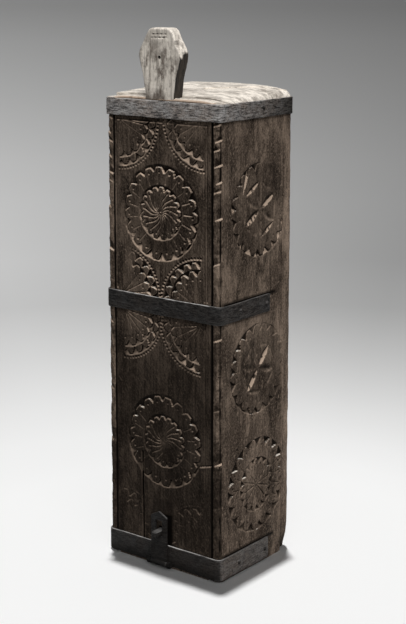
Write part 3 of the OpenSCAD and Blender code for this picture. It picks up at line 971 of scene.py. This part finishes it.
        # Painted shadows of the hasp
        for stain in self.hasp_shadows:
            face.stain(*stain)
        for crack in self.cracks:
            face.crack(*crack)
        face.weather(self.weather_seed)
        face.round_edge(np.abs(face.u) - (face.across[-1] - self.edge_round), self.edge_round)
        face.round_edge(face.v - (face.up[-1] - self.top_round), self.top_round)
        face.hole(PEG_LOW[0] - GROOVE_PLAY, PEG_HIGH[0] + GROOVE_PLAY,
                  PEG_LOW[2] - GROOVE_PLAY, PEG_HIGH[2] + GROOVE_PLAY, self.peg_hole_depth)

    def handle(self):
        """A pierced coffin-shaped plate with two scored lines, worn at its edges."""
        right = [(self.handle_x + x, PANEL_TOP + z) for x, z, _ in self.handle_half]
        left = [(self.handle_x - x, PANEL_TOP + z) for x, z, _ in reversed(self.handle_half)]
        radii = [radius for _, _, radius in self.handle_half]
        outline = rounded_outline(right + left, radii + radii[::-1])
        centre = (self.handle_x, PANEL_TOP + self.hole_z)
        turns = angles_round(32)
        hole = np.stack([centre[0] + self.hole_radius * np.cos(turns),
                         centre[1] + self.hole_radius * np.sin(turns)], axis=-1)
        front = PANEL_LOW[1] + self.handle_front
        grid = pierced_plate(outline, hole, centre, front, PANEL_HIGH[1],
                             self.handle_edge, self.hole_rim, around=240, inner_rows=44)
        x, y, z = np.moveaxis(grid, 2, 0)
        on_front = y < front + 0.05
        for line, slant in self.score_lines:
            away = np.abs(z - line - slant * x)
            inside = ramp(np.abs(x - self.handle_x), 10.0, 8.5)
            hand = 0.65 + 0.35 * np.sin(1.3 * x + line)
            y += on_front * inside * hand * ramp(away, 0.8, 0.0)
        for *place, reach, depth in self.broken:
            away = np.linalg.norm(grid - place, axis=2) / reach
            x -= np.sign(place[0]) * depth * np.clip(1.2 - away, 0.0, 1.0)
        return skin("panel_handle", [(grid, True)], dents=self.handle_dents)


class BOX_OT_side_boards(bpy.types.Operator):
    """Carves the two side boards and notches their front edges"""
    bl_idname = "candle_box.side_boards"
    bl_label = "Side boards"

    seeds = {"right_side": 31, "left_side": 47}
    # Place, outer radius, turn in degrees and the arcs with a painted highlight of the two flowers, each
    # of the same tongues
    flowers = ((4.5, 357.0, 46.0, 30, (1, 4)), (3.0, 200.5, 45.0, 49, ()))
    flower_tongues = 20
    # First and last angle of the rim that gets a painted highlight on the upper flower
    lit_rim = ((-135, 5), (158, 186))
    lit_rim_radii = (39.0, 45.5)
    # Place, angle, near and far end, half width and depth of the long leaf with a painted highlight over
    # the upper flower
    long_leaf = (-23.5, 373.0, math.radians(71), 0.0, 32.0, 3.0, 1.8)
    rosette = (2.0, 83.0)
    rosette_turn = 0.2
    rosette_style = {"whirl": False, "dirt": 0.0, "tip": 0.1, "blunt": 1.3, "fall": 0.4}
    edge_lines = (-47.0, -44.5)
    # Place, reach and share of the spots that are rubbed flat
    rubbed = ((18, 404, 20, 1.0), (36, 385, 20, 0.8), (45, 215, 24, 0.8), (8, 243, 20, 0.7))
    wear_cells = (26, 9)
    # Painted shade over the upper edges of two bands, between these places along the board
    shaded_bands = ("bottom_band", "middle_band")
    band_shade_ends = (-54.0, 33.0)
    stain_below, stain_above = 3.0, 3.4
    # Height, length and depth of the notches in the front edge, which get a painted highlight on their
    # up-facing walls above a height
    notches = ((443, 5, 2.2), (428, 6, 2.4), (420, 5, 2.0), (405, 9, 2.4), (389, 9, 2.2), (381, 5, 1.6),
               (355, 12, 2.2), (313, 10, 2.4), (240, 8, 1.6), (205, 9, 1.2), (171, 7, 1.8),
               (118, 9, 1.6), (74, 8, 1.2), (50, 6, 1.0))
    lit_notches_from = 230.0
    lit_notch = 118.0
    lit_notch_tone = 2.4
    dark_foot = 130.0
    foot_tone = -0.6
    gloom_tone = -0.32

    def execute(self, context):
        carving = context.scene.box_carving
        wood = finish_of(context, "case_wood")
        for name, seed in self.seeds.items():
            add_piece(self.board(name, seed, carving), "case", wood, [name])
        return {"FINISHED"}

    def board(self, name, seed, carving):
        """A board with a carved flank, a worn corner, the panel's groove and a post by the top board."""
        step = carving.step / MM
        back = SIDE_HIGH[1]
        inner = abs(SIDE_LOW[0])
        lip = PANEL_HALF + GROOVE_PLAY - 0.1
        groove_y = PANEL_HIGH[1] + GROOVE_PLAY
        groove_x = PANEL_HALF + PANEL_FLARE + GROOVE_PLAY + 0.07
        up = spread(0.0, SEAT_Z, step)
        along = spread(CASE_FRONT + CORNER_ROUND, back, step)
        face = CarvedFace(along, up)
        self.carve(face, seed, carving)
        ways = [(math.sin(a), -math.cos(a)) for a in np.linspace(0.0, QUARTER, 11)[1:-1]]
        fore = [(lip, CASE_FRONT + 1.4), (lip + 0.4, CASE_FRONT + 0.5)]
        fore += [(x, CASE_FRONT) for x in np.linspace(lip + 1.3, CASE_HALF - CORNER_ROUND, 6)]
        turn = [(CASE_HALF - CORNER_ROUND + CORNER_ROUND * x,
                 CASE_FRONT + CORNER_ROUND + CORNER_ROUND * y) for x, y in ways]
        flank = [(CASE_HALF, y) for y in along]
        inside = [(inner, y) for y in (back, 20.0, 0.0, -20.0, groove_y)] + [(groove_x, groove_y)]
        grid = stacked(np.array(fore + turn + flank + inside), up)
        corner = len(fore) + len(turn)
        end = corner + len(flank)
        grid[:, corner:end, 0] -= face.depth
        bite, bare_and_lit = self.corner_wear(up, corner, seed)
        facing = np.array([(0.0, -1.0)] * len(fore) + ways)
        grid[:, :corner, :2] -= bite[:, :, None] * facing[None]
        tone = np.zeros(grid.shape[:2])
        tone[:, corner:end] = face.tone
        tone[:, :corner] = self.corner_tone(up, grid.shape[:2], len(fore), corner, bare_and_lit, name, seed)
        post = stacked(np.array(fore + turn + [(CASE_HALF, groove_y), (groove_x, groove_y)]),
                       (SEAT_Z, SIDE_HIGH[2]))
        tone = np.concatenate([tone.ravel(), np.zeros(post.shape[0] * post.shape[1])])
        mirror = (-1.0, 1.0, 1.0) if name == "left_side" else (1.0, 1.0, 1.0)
        return skin("carved_" + name, [(part * mirror, False) for part in (grid, post)], tone)

    def corner_wear(self, up, points, seed):
        """Depth of the gouges and the rubbing on the front corner, and where the notches' up-facing walls
        get a painted highlight.
        """
        shape = (len(up), points)
        bite = 0.7 + 0.5 * smooth_field(seed + 5, shape, (60, 3))
        bite += 0.2 * smooth_field(seed + 6, shape, (200, 6))
        place = np.linspace(0.0, 1.0, points)[None, :]
        bare_and_lit = np.zeros(shape, dtype=bool)
        for i, (z, tall, depth) in enumerate(self.notches):
            middle = 0.3 + 0.5 * ((i * 7 + seed) % 5) / 4
            above = up[:, None] - z - 3.5 * (place - 0.5)
            slope = np.where(above < 0.0, 1.0 + above / 0.9, 1.0 - above / tall)
            across = np.clip(1.3 - np.abs(place - middle) / 0.45, 0.0, 1.0)
            bite = np.maximum(bite, depth * np.clip(slope, 0.0, 1.0) * across)
            # Painted highlight on the up-facing walls of the higher notches and of one lower one
            if z > self.lit_notches_from or z == self.lit_notch:
                bare_and_lit |= (above < 0.2) & (above > -2.0) & (across > 0.3)
        return bite, bare_and_lit

    def corner_tone(self, up, shape, fore, corner, bare_and_lit, name, seed):
        """Tones of the front corner: black at the joint, a dirty bend, painted highlights on the notches,
        a dark foot.
        """
        bend = slice(fore + 4, fore + 7)
        tone = (0.2 + 0.7 * smooth_field(seed + 7, shape, (90, 12)))[:, :corner]
        tone[:, bend] = -0.75 + 0.5 * smooth_field(seed + 8, (len(up), 3), (50, 1))
        tone[:, :2] = TONE_BLACK
        if name == "right_side":
            gloom = up < self.lit_notches_from + 15.0
            tone[gloom, :fore] = np.minimum(tone[gloom, :fore], self.gloom_tone)
        # Painted highlight on the notches
        tone[:, 2:] = np.where(bare_and_lit[:, 2:], self.lit_notch_tone, tone[:, 2:])
        foot = (up < self.dark_foot) & (np.abs(up - self.lit_notch) > 2.5)
        tone[foot] = np.minimum(tone[foot], self.foot_tone)
        return tone

    def carve(self, face, seed, carving):
        for u, v, outer, degrees, bare_and_lit in self.flowers:
            carve_flower(face, u, v, outer, self.flower_tongues, carving, math.radians(degrees), bare_and_lit)
        u, v = self.flowers[0][:2]
        # Painted highlight on parts of the rim and on the long leaf
        for first, last in self.lit_rim:
            face.brighten(u, v, *self.lit_rim_radii, (math.radians(first), math.radians(last)))
        face.petal(*self.long_leaf, bare_and_lit=True)
        carve_rosette(face, *self.rosette, carving, self.rosette_turn, **self.rosette_style)
        face.spokes(*self.rosette, 1.0, 21.5, 12, half=0.8, depth=1.0, phase=self.rosette_turn)
        for u in self.edge_lines:
            face.line((u, 275.0), (u, 440.0), half=0.6, depth=0.6)
        face.rub(seed, self.wear_cells, carving.wear, self.rubbed)
        # Painted shade along the upper edges of the bands
        for band in self.shaded_bands:
            top = node_mm(band)[1][2]
            face.stain(*self.band_shade_ends, top - self.stain_below, top + self.stain_above, 1.0)
        face.weather(seed + 9)


class BOX_OT_plain_boards(bpy.types.Operator):
    """Shapes the plain back board and finishes the bottom board"""
    bl_idname = "candle_box.plain_boards"
    bl_label = "Back and bottom boards"

    step = 1.6
    worn_corner = 6.0
    hollow_seed = 61
    grain_seed = 62

    def execute(self, context):
        wood = finish_of(context, "back_wood")
        add_piece(self.back(), "case", wood, ["back_board"])
        finish_nodes(wood, "bottom_board")
        return {"FINISHED"}

    def back(self):
        """A board with rounded back corners, planed hollow, its right foot worn away."""
        up = spread(0.0, SEAT_Z, self.step)
        inner, outer = BACK_LOW[1], BACK_HIGH[1]
        half, r = CASE_HALF, CORNER_ROUND
        right = [(half, y) for y in np.linspace(inner, outer - r, 5)[:-1]]
        right += [(half - r + r * math.cos(a), outer - r + r * math.sin(a))
                  for a in np.linspace(0.0, QUARTER, 7)]
        rear = [(x, outer) for x in spread(r - half, half - r, self.step)[-2:0:-1]]
        left = [(-x, y) for x, y in reversed(right)]
        inside = [(x, inner) for x in np.linspace(1.5 - half, half - 1.5, 24)]
        plan = np.array(right + rear + left + inside)
        grid = stacked(plan, up)
        shape = grid.shape[:2]
        hollow = 0.35 + 0.35 * smooth_field(self.hollow_seed, shape, (60, 14))
        hollow += 0.2 * smooth_field(self.grain_seed, shape, (9, 90))
        hollow = np.clip(hollow, 0.0, None) * (plan[:, 1] > inner + 1)
        away = plan - (0.0, inner)
        away = away / np.linalg.norm(away, axis=1)[:, None]
        grid[:, :, :2] -= hollow[:, :, None] * away[None]
        corner = ramp(grid[:, :, 0], 52.0, 70.0) * ramp(grid[:, :, 2], 30.0, 0.0)
        grid[:, :, 0] -= self.worn_corner * corner ** 1.6
        return skin("planed_back_board", [(grid, False)])


class BOX_OT_top_board(bpy.types.Operator):
    """Wears the pale top board and finishes its wooden pegs"""
    bl_idname = "candle_box.top_board"
    bl_label = "Top board"

    edge_round = 3.4
    right_round = 2.6
    front_round = 0.6
    front_corner = 0.8
    front_drop = 5.5
    right_drop = 3.8
    left_drop = 1.2
    crown = 2.0
    flat_back = 7.0
    peg_radius = 3.5
    peg_crown = 0.25
    peg_below = 0.45
    pitch = 2.0
    rows = 42
    dents = {"bite": 0.9, "seed": 5, "coarse": 14.0, "fine": 3.0}

    def execute(self, context):
        wood = finish_of(context, "top_wood")
        add_piece(self.board(), "case", wood, ["top_board"])
        add_piece(self.pegs(), "case", wood, ["top_pegs"])
        return {"FINISHED"}

    def height(self, x, y):
        """Top of the board at a place: rising to the back, crowned and rubbed down at its side edges."""
        rise = ramp(y, TOP_LOW[1], TOP_HIGH[1] - self.flat_back)
        slope = TOP_HIGH[2] - self.front_drop * (1.0 - rise)
        crowned = TOP_HIGH[2] - self.crown * (x / CASE_HALF) ** 2
        right = ramp(x, 34.0, 70.0)
        left = ramp(x, -40.0, -70.0)
        return np.minimum(slope, crowned) - self.right_drop * right ** 2 - self.left_drop * left ** 2

    def pegs(self):
        """Four pegs worn down with the board, a trace proud of it."""
        low, high = node_mm("top_pegs")
        radius = self.peg_radius
        turns = angles_round(40)
        parts = []
        for x in (low[0] + radius, high[0] - radius):
            for y in (low[1] + radius, high[1] - radius):
                rim_x, rim_y = radius * np.cos(turns), radius * np.sin(turns)
                crest = self.height(x + rim_x, y + rim_y) - self.peg_below
                rows = [(low[2], 0.96), (low[2] + 1.0, 1.0)]
                rows += [(crest + self.peg_crown * (1.0 - share ** 6), share)
                         for share in (1.0, 0.9, 0.5, 0.1)]
                grid = np.array([ring(x + rim_x * share, y + rim_y * share, z) for z, share in rows])
                parts.append((grid, False))
        return skin("worn_top_pegs", parts)

    def board(self):
        """A board with upright sides and rounded edges, closed over the top in shrinking rings."""
        half, front, back = CASE_HALF, TOP_LOW[1], TOP_HIGH[1]
        sharp = self.front_corner
        outline = rounded_outline([(-half, front), (half, front), (half, back), (-half, back)],
                                  [sharp, sharp, CORNER_ROUND, CORNER_ROUND])
        plan = spaced(outline, self.pitch)
        normals = outward(plan)
        broad = self.edge_round + self.right_round * ramp(plan[:, 0], 60.0, 68.0)
        edge = self.front_round + (broad - self.front_round) * ramp(plan[:, 1], front + 1.0, front + 10.0)
        crest = self.height(plan[:, 0], plan[:, 1])
        rows = [ring(plan[:, 0], plan[:, 1], SEAT_Z + (crest - edge - SEAT_Z) * part)
                for part in (0.0, 0.25, 0.5, 0.75, 1.0)]
        for turn in np.linspace(0.0, QUARTER, 7)[1:]:
            x, y = (plan - normals * (edge * (1.0 - math.cos(turn)))[:, None]).T
            rows.append(ring(x, y, self.height(x, y) - edge + edge * math.sin(turn)))
        rim = rows[-1][:, :2]
        middle = rim.mean(axis=0)
        for part in np.linspace(1.0, 0.02, self.rows + 1)[1:]:
            x, y = (middle + (rim - middle) * part).T
            rows.append(ring(x, y, self.height(x, y)))
        return skin("worn_top_board", [(np.array(rows), False)], dents=self.dents)


class BOX_OT_bands(bpy.types.Operator):
    """Forges the three iron bands"""
    bl_idname = "candle_box.bands"
    bl_label = "Iron bands"

    thick = 1.5
    edge = 0.45
    pitch = 1.6
    lap_half = 22.0
    shrink = 0.3
    bands = (("top_band", 71, "rubbed_band_iron"), ("middle_band", 72, "band_iron"),
             ("bottom_band", 73, "dusty_band_iron"))
    # Rows from either end of an open band, and how far they are hammered down
    hammered_ends = ((0, 0.55), (1, 0.2), (-1, 0.55), (-2, 0.2))

    def execute(self, context):
        for name, seed, finish in self.bands:
            low, high = node_mm(name)
            closed = name == "top_band"
            points, normals = self.path(high[1], closed)
            parts = [(self.sweep(points, normals, low[2], high[2], seed, closed), closed)]
            if closed:
                lap = np.array([(x, CASE_BACK + self.thick)
                                for x in np.arange(self.lap_half, -self.lap_half - 0.1, -self.pitch)])
                behind = np.tile((0.0, 1.0), (len(lap), 1))
                parts.append((self.sweep(lap, behind, low[2], high[2], seed + 9, False), False))
            mesh = skin("forged_" + name, parts)
            add_piece(mesh, "case", finish_of(context, finish), [name])
        return {"FINISHED"}

    def path(self, end_y, closed):
        """Points and normals along the case's outline, from its left side round the front."""
        half, front, back, r = CASE_HALF, CASE_FRONT, CASE_BACK, CORNER_ROUND
        stop = back - r if closed else end_y
        points, normals = [], []

        def run(start, end, normal):
            start, end = np.array(start), np.array(end)
            count = max(2, int(math.hypot(*(end - start)) / self.pitch))
            for i in range(count):
                points.append(start + (end - start) * (i / count))
                normals.append(normal)

        def bend(x, y, first):
            for angle in first + QUARTER * np.arange(8) / 8:
                way = np.array([math.cos(angle), math.sin(angle)])
                points.append((x, y) + r * way)
                normals.append(way)

        run((-half, stop), (-half, front + r), (-1.0, 0.0))
        bend(-half + r, front + r, 2 * QUARTER)
        run((-half + r, front), (half - r, front), (0.0, -1.0))
        bend(half - r, front + r, 3 * QUARTER)
        run((half, front + r), (half, stop), (1.0, 0.0))
        if closed:
            bend(half - r, back - r, 0.0)
            run((half - r, back), (-half + r, back), (0.0, 1.0))
            bend(-half + r, back - r, QUARTER)
        else:
            points.append((half, stop))
            normals.append((1.0, 0.0))
        return np.array(points), np.array(normals)

    def sweep(self, points, normals, low, high, seed, closed):
        """Rounded strip section at each point, dented and a little uneven in width."""
        thick, edge = self.thick, self.edge
        heights = np.linspace(low + edge, high - edge, max(8, int((high - low) / self.pitch)))
        section = [(0.0, low), (thick - edge, low), (thick - 0.3 * edge, low + 0.3 * edge)]
        section += [(thick, z) for z in heights]
        section += [(thick - 0.3 * edge, high - 0.3 * edge), (thick - edge, high), (0.0, high)]
        section = np.array(section)
        outside = section[:, 0] > 0.1
        count = len(points)
        shape = (count, len(section))
        dents = 0.22 + 0.16 * smooth_field(seed, shape, (count // 5, 4))
        dents += 0.08 * smooth_field(seed + 1, shape, (count // 2, 9))
        out = section[None, :, 0] - dents * outside
        waver = self.shrink + 0.3 * smooth_field(seed + 2, (count, 2), (count // 9, 1))
        share = ((section[:, 1] - low) / (high - low))[None, :]
        z = section[None, :, 1] + waver[:, :1] * (1.0 - share) - waver[:, 1:] * share
        if not closed:
            for row, squeeze in self.hammered_ends:
                out[row] -= squeeze * outside
                z[row] += squeeze * (1.0 - 2.0 * share[0])
        place = points[:, None, :] + normals[:, None, :] * out[:, :, None]
        return np.concatenate([place, z[:, :, None]], axis=2)


class BOX_OT_nails(bpy.types.Operator):
    """Finishes the nails of the bands, the back and the bottom"""
    bl_idname = "candle_box.nails"
    bl_label = "Nails"

    def execute(self, context):
        finish_nodes(finish_of(context, "band_iron"), "top_band_nails", "middle_band_nails",
                     "bottom_band_nails", "back_nails", "bottom_nails")
        return {"FINISHED"}


class BOX_OT_hasp(bpy.types.Operator):
    """Forges the hasp and the locking peg and finishes the hinge"""
    bl_idname = "candle_box.hasp"
    bl_label = "Hasp and peg"

    thick = 2.5
    knuckle = 3.2
    knuckle_worn = 0.05
    knuckle_edge = 0.4
    bore = 1.7
    shoulder_z = 53.0
    shoulder_round = 2.0
    tip_round = 1.5
    slot_low = 32.7
    slot_high = 48.7
    slot_half = 4.0
    slot_round = 0.5
    plate_edge = 0.6
    slot_rim = 0.35
    peg_square = 0.35
    hasp_dents = {"bite": 0.3, "seed": 91, "coarse": 7.0, "fine": 2.0}
    peg_dents = {"bite": 0.3, "seed": 93, "coarse": 6.0, "fine": 1.8}

    def execute(self, context):
        iron = finish_of(context, "hasp_iron")
        add_piece(self.hasp(), "hasp_body", iron, ["hasp"])
        add_piece(self.peg(), "peg", iron, ["locking_peg"])
        finish_nodes(finish_of(context, "hinge_iron"), "hinge_eyes", "hinge_pin")
        return {"FINISHED"}

    def hasp(self):
        """A slotted plate with a gable tip, and the rolled eye at its foot."""
        left, right = HASP_LOW[0], HASP_HIGH[0]
        middle = (left + right) / 2
        hinge_y, hinge_z = HASP_LOW[1] + self.knuckle, HASP_LOW[2] + self.knuckle
        outline = rounded_outline(
            [(left, hinge_z), (right, hinge_z), (right, self.shoulder_z), (middle, HASP_HIGH[2]),
             (left, self.shoulder_z)],
            [0.0, 0.0, self.shoulder_round, self.tip_round, self.shoulder_round])
        slot_left, slot_right = middle - self.slot_half, middle + self.slot_half
        slot = rounded_outline(
            [(slot_left, self.slot_low), (slot_right, self.slot_low),
             (slot_right, self.slot_high), (slot_left, self.slot_high)], [self.slot_round] * 4, 3)
        centre = (middle, (self.slot_low + self.slot_high) / 2)
        plate = pierced_plate(outline, slot, centre, hinge_y - self.thick / 2, hinge_y + self.thick / 2,
                              self.plate_edge, self.slot_rim, around=280, inner_rows=20)
        edge = self.knuckle_edge
        profile = [(left, self.bore), (left, self.knuckle - edge)]
        profile += [(x, self.knuckle - self.knuckle_worn)
                    for x in np.linspace(left + edge, right - edge, 12)]
        profile += [(right, self.knuckle - edge), (right, self.bore)]
        turns = angles_round(36)
        eye = np.array([ring(x, hinge_y + radius * np.cos(turns), hinge_z + radius * np.sin(turns))
                        for x, radius in profile])
        return skin("forged_hasp", [(plate, True), (eye, True)], dents=self.hasp_dents)

    def peg(self):
        """A flat-sided peg with softened edges and a round nose."""
        middle = (PEG_LOW + PEG_HIGH) / 2
        half = (PEG_HIGH - PEG_LOW) / 2
        nose = PEG_LOW[1] + half[0]
        places = [(y, 1.0) for y in np.linspace(PEG_HIGH[1], nose, 14)]
        places += [(nose - half[0] * math.sin(a), math.cos(a)) for a in np.linspace(0.0, 1.5, 9)[1:]]
        turns = angles_round(48)
        wide, tall = (np.sign(wave) * np.abs(wave) ** self.peg_square
                      for wave in (np.cos(turns), np.sin(turns)))
        grid = np.array([
            ring(middle[0] + half[0] * share * wide, y, middle[2] + half[2] * (0.8 + 0.2 * share) * tall)
            for y, share in places])
        return skin("forged_locking_peg", [(grid, False)], dents=self.peg_dents)


class BOX_OT_stage(bpy.types.Operator):
    """Lays the floor, hangs the lights and sets the camera"""
    bl_idname = "candle_box.stage"
    bl_label = "Stage"

    floor_radius = 120.0
    floor_rough = 0.9
    floor_gloss = 0.1
    bounce = 0.25
    # Brightness of the floor by distance in metres, and the way in which it is darker
    distance_tones = ((0.0, 1.0), (0.25, 1.0), (0.3, 0.98), (0.38, 0.94), (0.51, 0.84), (0.77, 0.65),
                      (1.1, 0.49), (1.6, 0.465), (2.25, 0.45), (3.0, 0.42), (4.2, 0.37), (6.25, 0.32),
                      (10.6, 0.27), (22.0, 0.21))
    dark_way = (0.787, 0.616, 0.0)
    # Spread in degrees and direction of each light, and whether the floor alone takes it or is left out
    lights = {
        "key_light": (35.0, (-0.36, 0.28, -0.89), "EXCLUDE"),
        "front_light": (60.0, (-0.68, 0.64, -0.36), None),
        "back_light": (90.0, (0.45, -0.60, -0.66), "EXCLUDE"),
        "floor_light": (1.5, (0.042, -0.047, -1.0), "INCLUDE"),
    }
    film_width = 36.0
    picture_height = 624
    shift_x = 3.4 / picture_height
    shift_y = -104.0 / picture_height

    def execute(self, context):
        scene = context.scene
        scene.view_settings.view_transform = "Standard"
        floor = self.lay_floor(scene)
        self.light(scene, floor)
        self.aim_camera(scene)
        return {"FINISHED"}

    def lay_floor(self, scene):
        mesh = bpy.data.meshes.new("studio_floor")
        bm = bmesh.new()
        bmesh.ops.create_circle(bm, cap_ends=True, segments=96, radius=self.floor_radius)
        bm.to_mesh(mesh)
        bm.free()
        mesh.materials.append(self.floor_finish(scene.box_finish.floor))
        floor = bpy.data.objects.new("studio_floor", mesh)
        scene.collection.objects.link(floor)
        return floor

    def floor_finish(self, pale):
        """Pale floor that falls away into a darker distance, dimmer for the light that it throws back."""
        coat = Coat("studio_floor")
        far = coat.add("ShaderNodeVectorMath", {0: coat.place}, operation="LENGTH").outputs["Value"]
        share = coat.maths("DIVIDE", far, coat.maths("ADD", far, 1.0))
        fade = coat.add("ShaderNodeValToRGB", {"Fac": share})
        tones = fade.color_ramp.elements
        while len(tones) < len(self.distance_tones):
            tones.new(0.5)
        for element, (metres, tone) in zip(tones, self.distance_tones):
            element.position = metres / (metres + 1.0)
            element.color = (*scaled(pale, tone), 1.0)
        coat.colour = fade.outputs["Color"]
        aside = coat.add("ShaderNodeVectorMath", {0: coat.place, 1: self.dark_way},
                         operation="DOT_PRODUCT").outputs["Value"]
        lean = coat.remap(coat.maths("DIVIDE", aside, coat.maths("ADD", far, 0.5)), -0.2, 0.2, -1.0, 1.0)
        lean = coat.times(lean, coat.remap(far, 0.3, 1.5, 0.0, 0.3))
        path = coat.add("ShaderNodeLightPath").outputs
        seen = coat.maths("MAXIMUM", path["Is Glossy Ray"], path["Is Transmission Ray"])
        seen = coat.maths("MAXIMUM", path["Is Camera Ray"], seen)
        thrown = coat.remap(seen, 0.0, 1.0, self.bounce, 1.0)
        coat.dim(coat.times(coat.maths("SUBTRACT", 1.0, lean), thrown))
        return coat.done({"Roughness": self.floor_rough, "Specular IOR Level": self.floor_gloss})

    def light(self, scene, floor):
        """Soft lights on the box, a front light on both, and a crisp one overhead on the floor."""
        stage = scene.box_stage
        world = bpy.data.worlds.new("studio_room")
        world.use_nodes = True
        room = world.node_tree.nodes["Background"].inputs
        room["Color"].default_value = (1.0, 1.0, 1.0, 1.0)
        room["Strength"].default_value = stage.room_light
        scene.world = world
        receivers = {}
        for state in ("INCLUDE", "EXCLUDE"):
            receivers[state] = bpy.data.collections.new("floor_" + state.lower())
            receivers[state].objects.link(floor)
            receivers[state].collection_objects[0].light_linking.link_state = state
        for name, (degrees, towards, state) in self.lights.items():
            lamp = bpy.data.lights.new(name, "SUN")
            lamp.energy = getattr(stage, name)
            lamp.angle = math.radians(degrees)
            obj = bpy.data.objects.new(name, lamp)
            obj.rotation_euler = Vector(towards).to_track_quat("-Z", "Y").to_euler()
            if state:
                obj.light_linking.receiver_collection = receivers[state]
            scene.collection.objects.link(obj)

    def aim_camera(self, scene):
        stage = scene.box_stage
        lens = bpy.data.cameras.new("photo_camera")
        lens.sensor_width = self.film_width
        lens.lens = stage.lens
        lens.shift_x = self.shift_x
        lens.shift_y = self.shift_y
        camera = bpy.data.objects.new("photo_camera", lens)
        turn, distance = stage.camera_turn, stage.camera_distance
        camera.location = (math.sin(turn) * distance, -math.cos(turn) * distance, stage.camera_height)
        camera.rotation_euler = (QUARTER - stage.camera_tilt, 0.0, turn)
        scene.collection.objects.link(camera)
        scene.camera = camera


PIECES = (BOX_OT_stage, BOX_OT_sliding_panel, BOX_OT_side_boards, BOX_OT_plain_boards, BOX_OT_top_board,
          BOX_OT_bands, BOX_OT_nails, BOX_OT_hasp)
GROUPS = {"box_carving": CarvingSettings, "box_finish": FinishSettings, "box_stage": StageSettings}


class BOX_PT_sidebar(bpy.types.Panel):
    """Lists the pieces of the candle box and its settings"""
    bl_idname = "BOX_PT_sidebar"
    bl_label = "Candle Box"
    bl_space_type = "VIEW_3D"
    bl_region_type = "UI"
    bl_category = "Candle Box"

    def draw(self, context):
        for piece in PIECES:
            self.layout.operator(piece.bl_idname)
        for key, kind in GROUPS.items():
            column = self.layout.column()
            for setting in kind.__annotations__:
                column.prop(getattr(context.scene, key), setting)


def register():
    for kind in (*GROUPS.values(), *PIECES, BOX_PT_sidebar):
        bpy.utils.register_class(kind)
    for key, kind in GROUPS.items():
        setattr(bpy.types.Scene, key, bpy.props.PointerProperty(type=kind))


def unregister():
    for key in GROUPS:
        delattr(bpy.types.Scene, key)
    for kind in (BOX_PT_sidebar, *reversed(PIECES), *GROUPS.values()):
        bpy.utils.unregister_class(kind)


def main():
    register()
    bpy.ops.candle_box.stage()
    bpy.ops.candle_box.sliding_panel()
    bpy.ops.candle_box.side_boards()
    bpy.ops.candle_box.plain_boards()
    bpy.ops.candle_box.top_board()
    bpy.ops.candle_box.bands()
    bpy.ops.candle_box.nails()
    bpy.ops.candle_box.hasp()


if __name__ == "__main__":
    main()
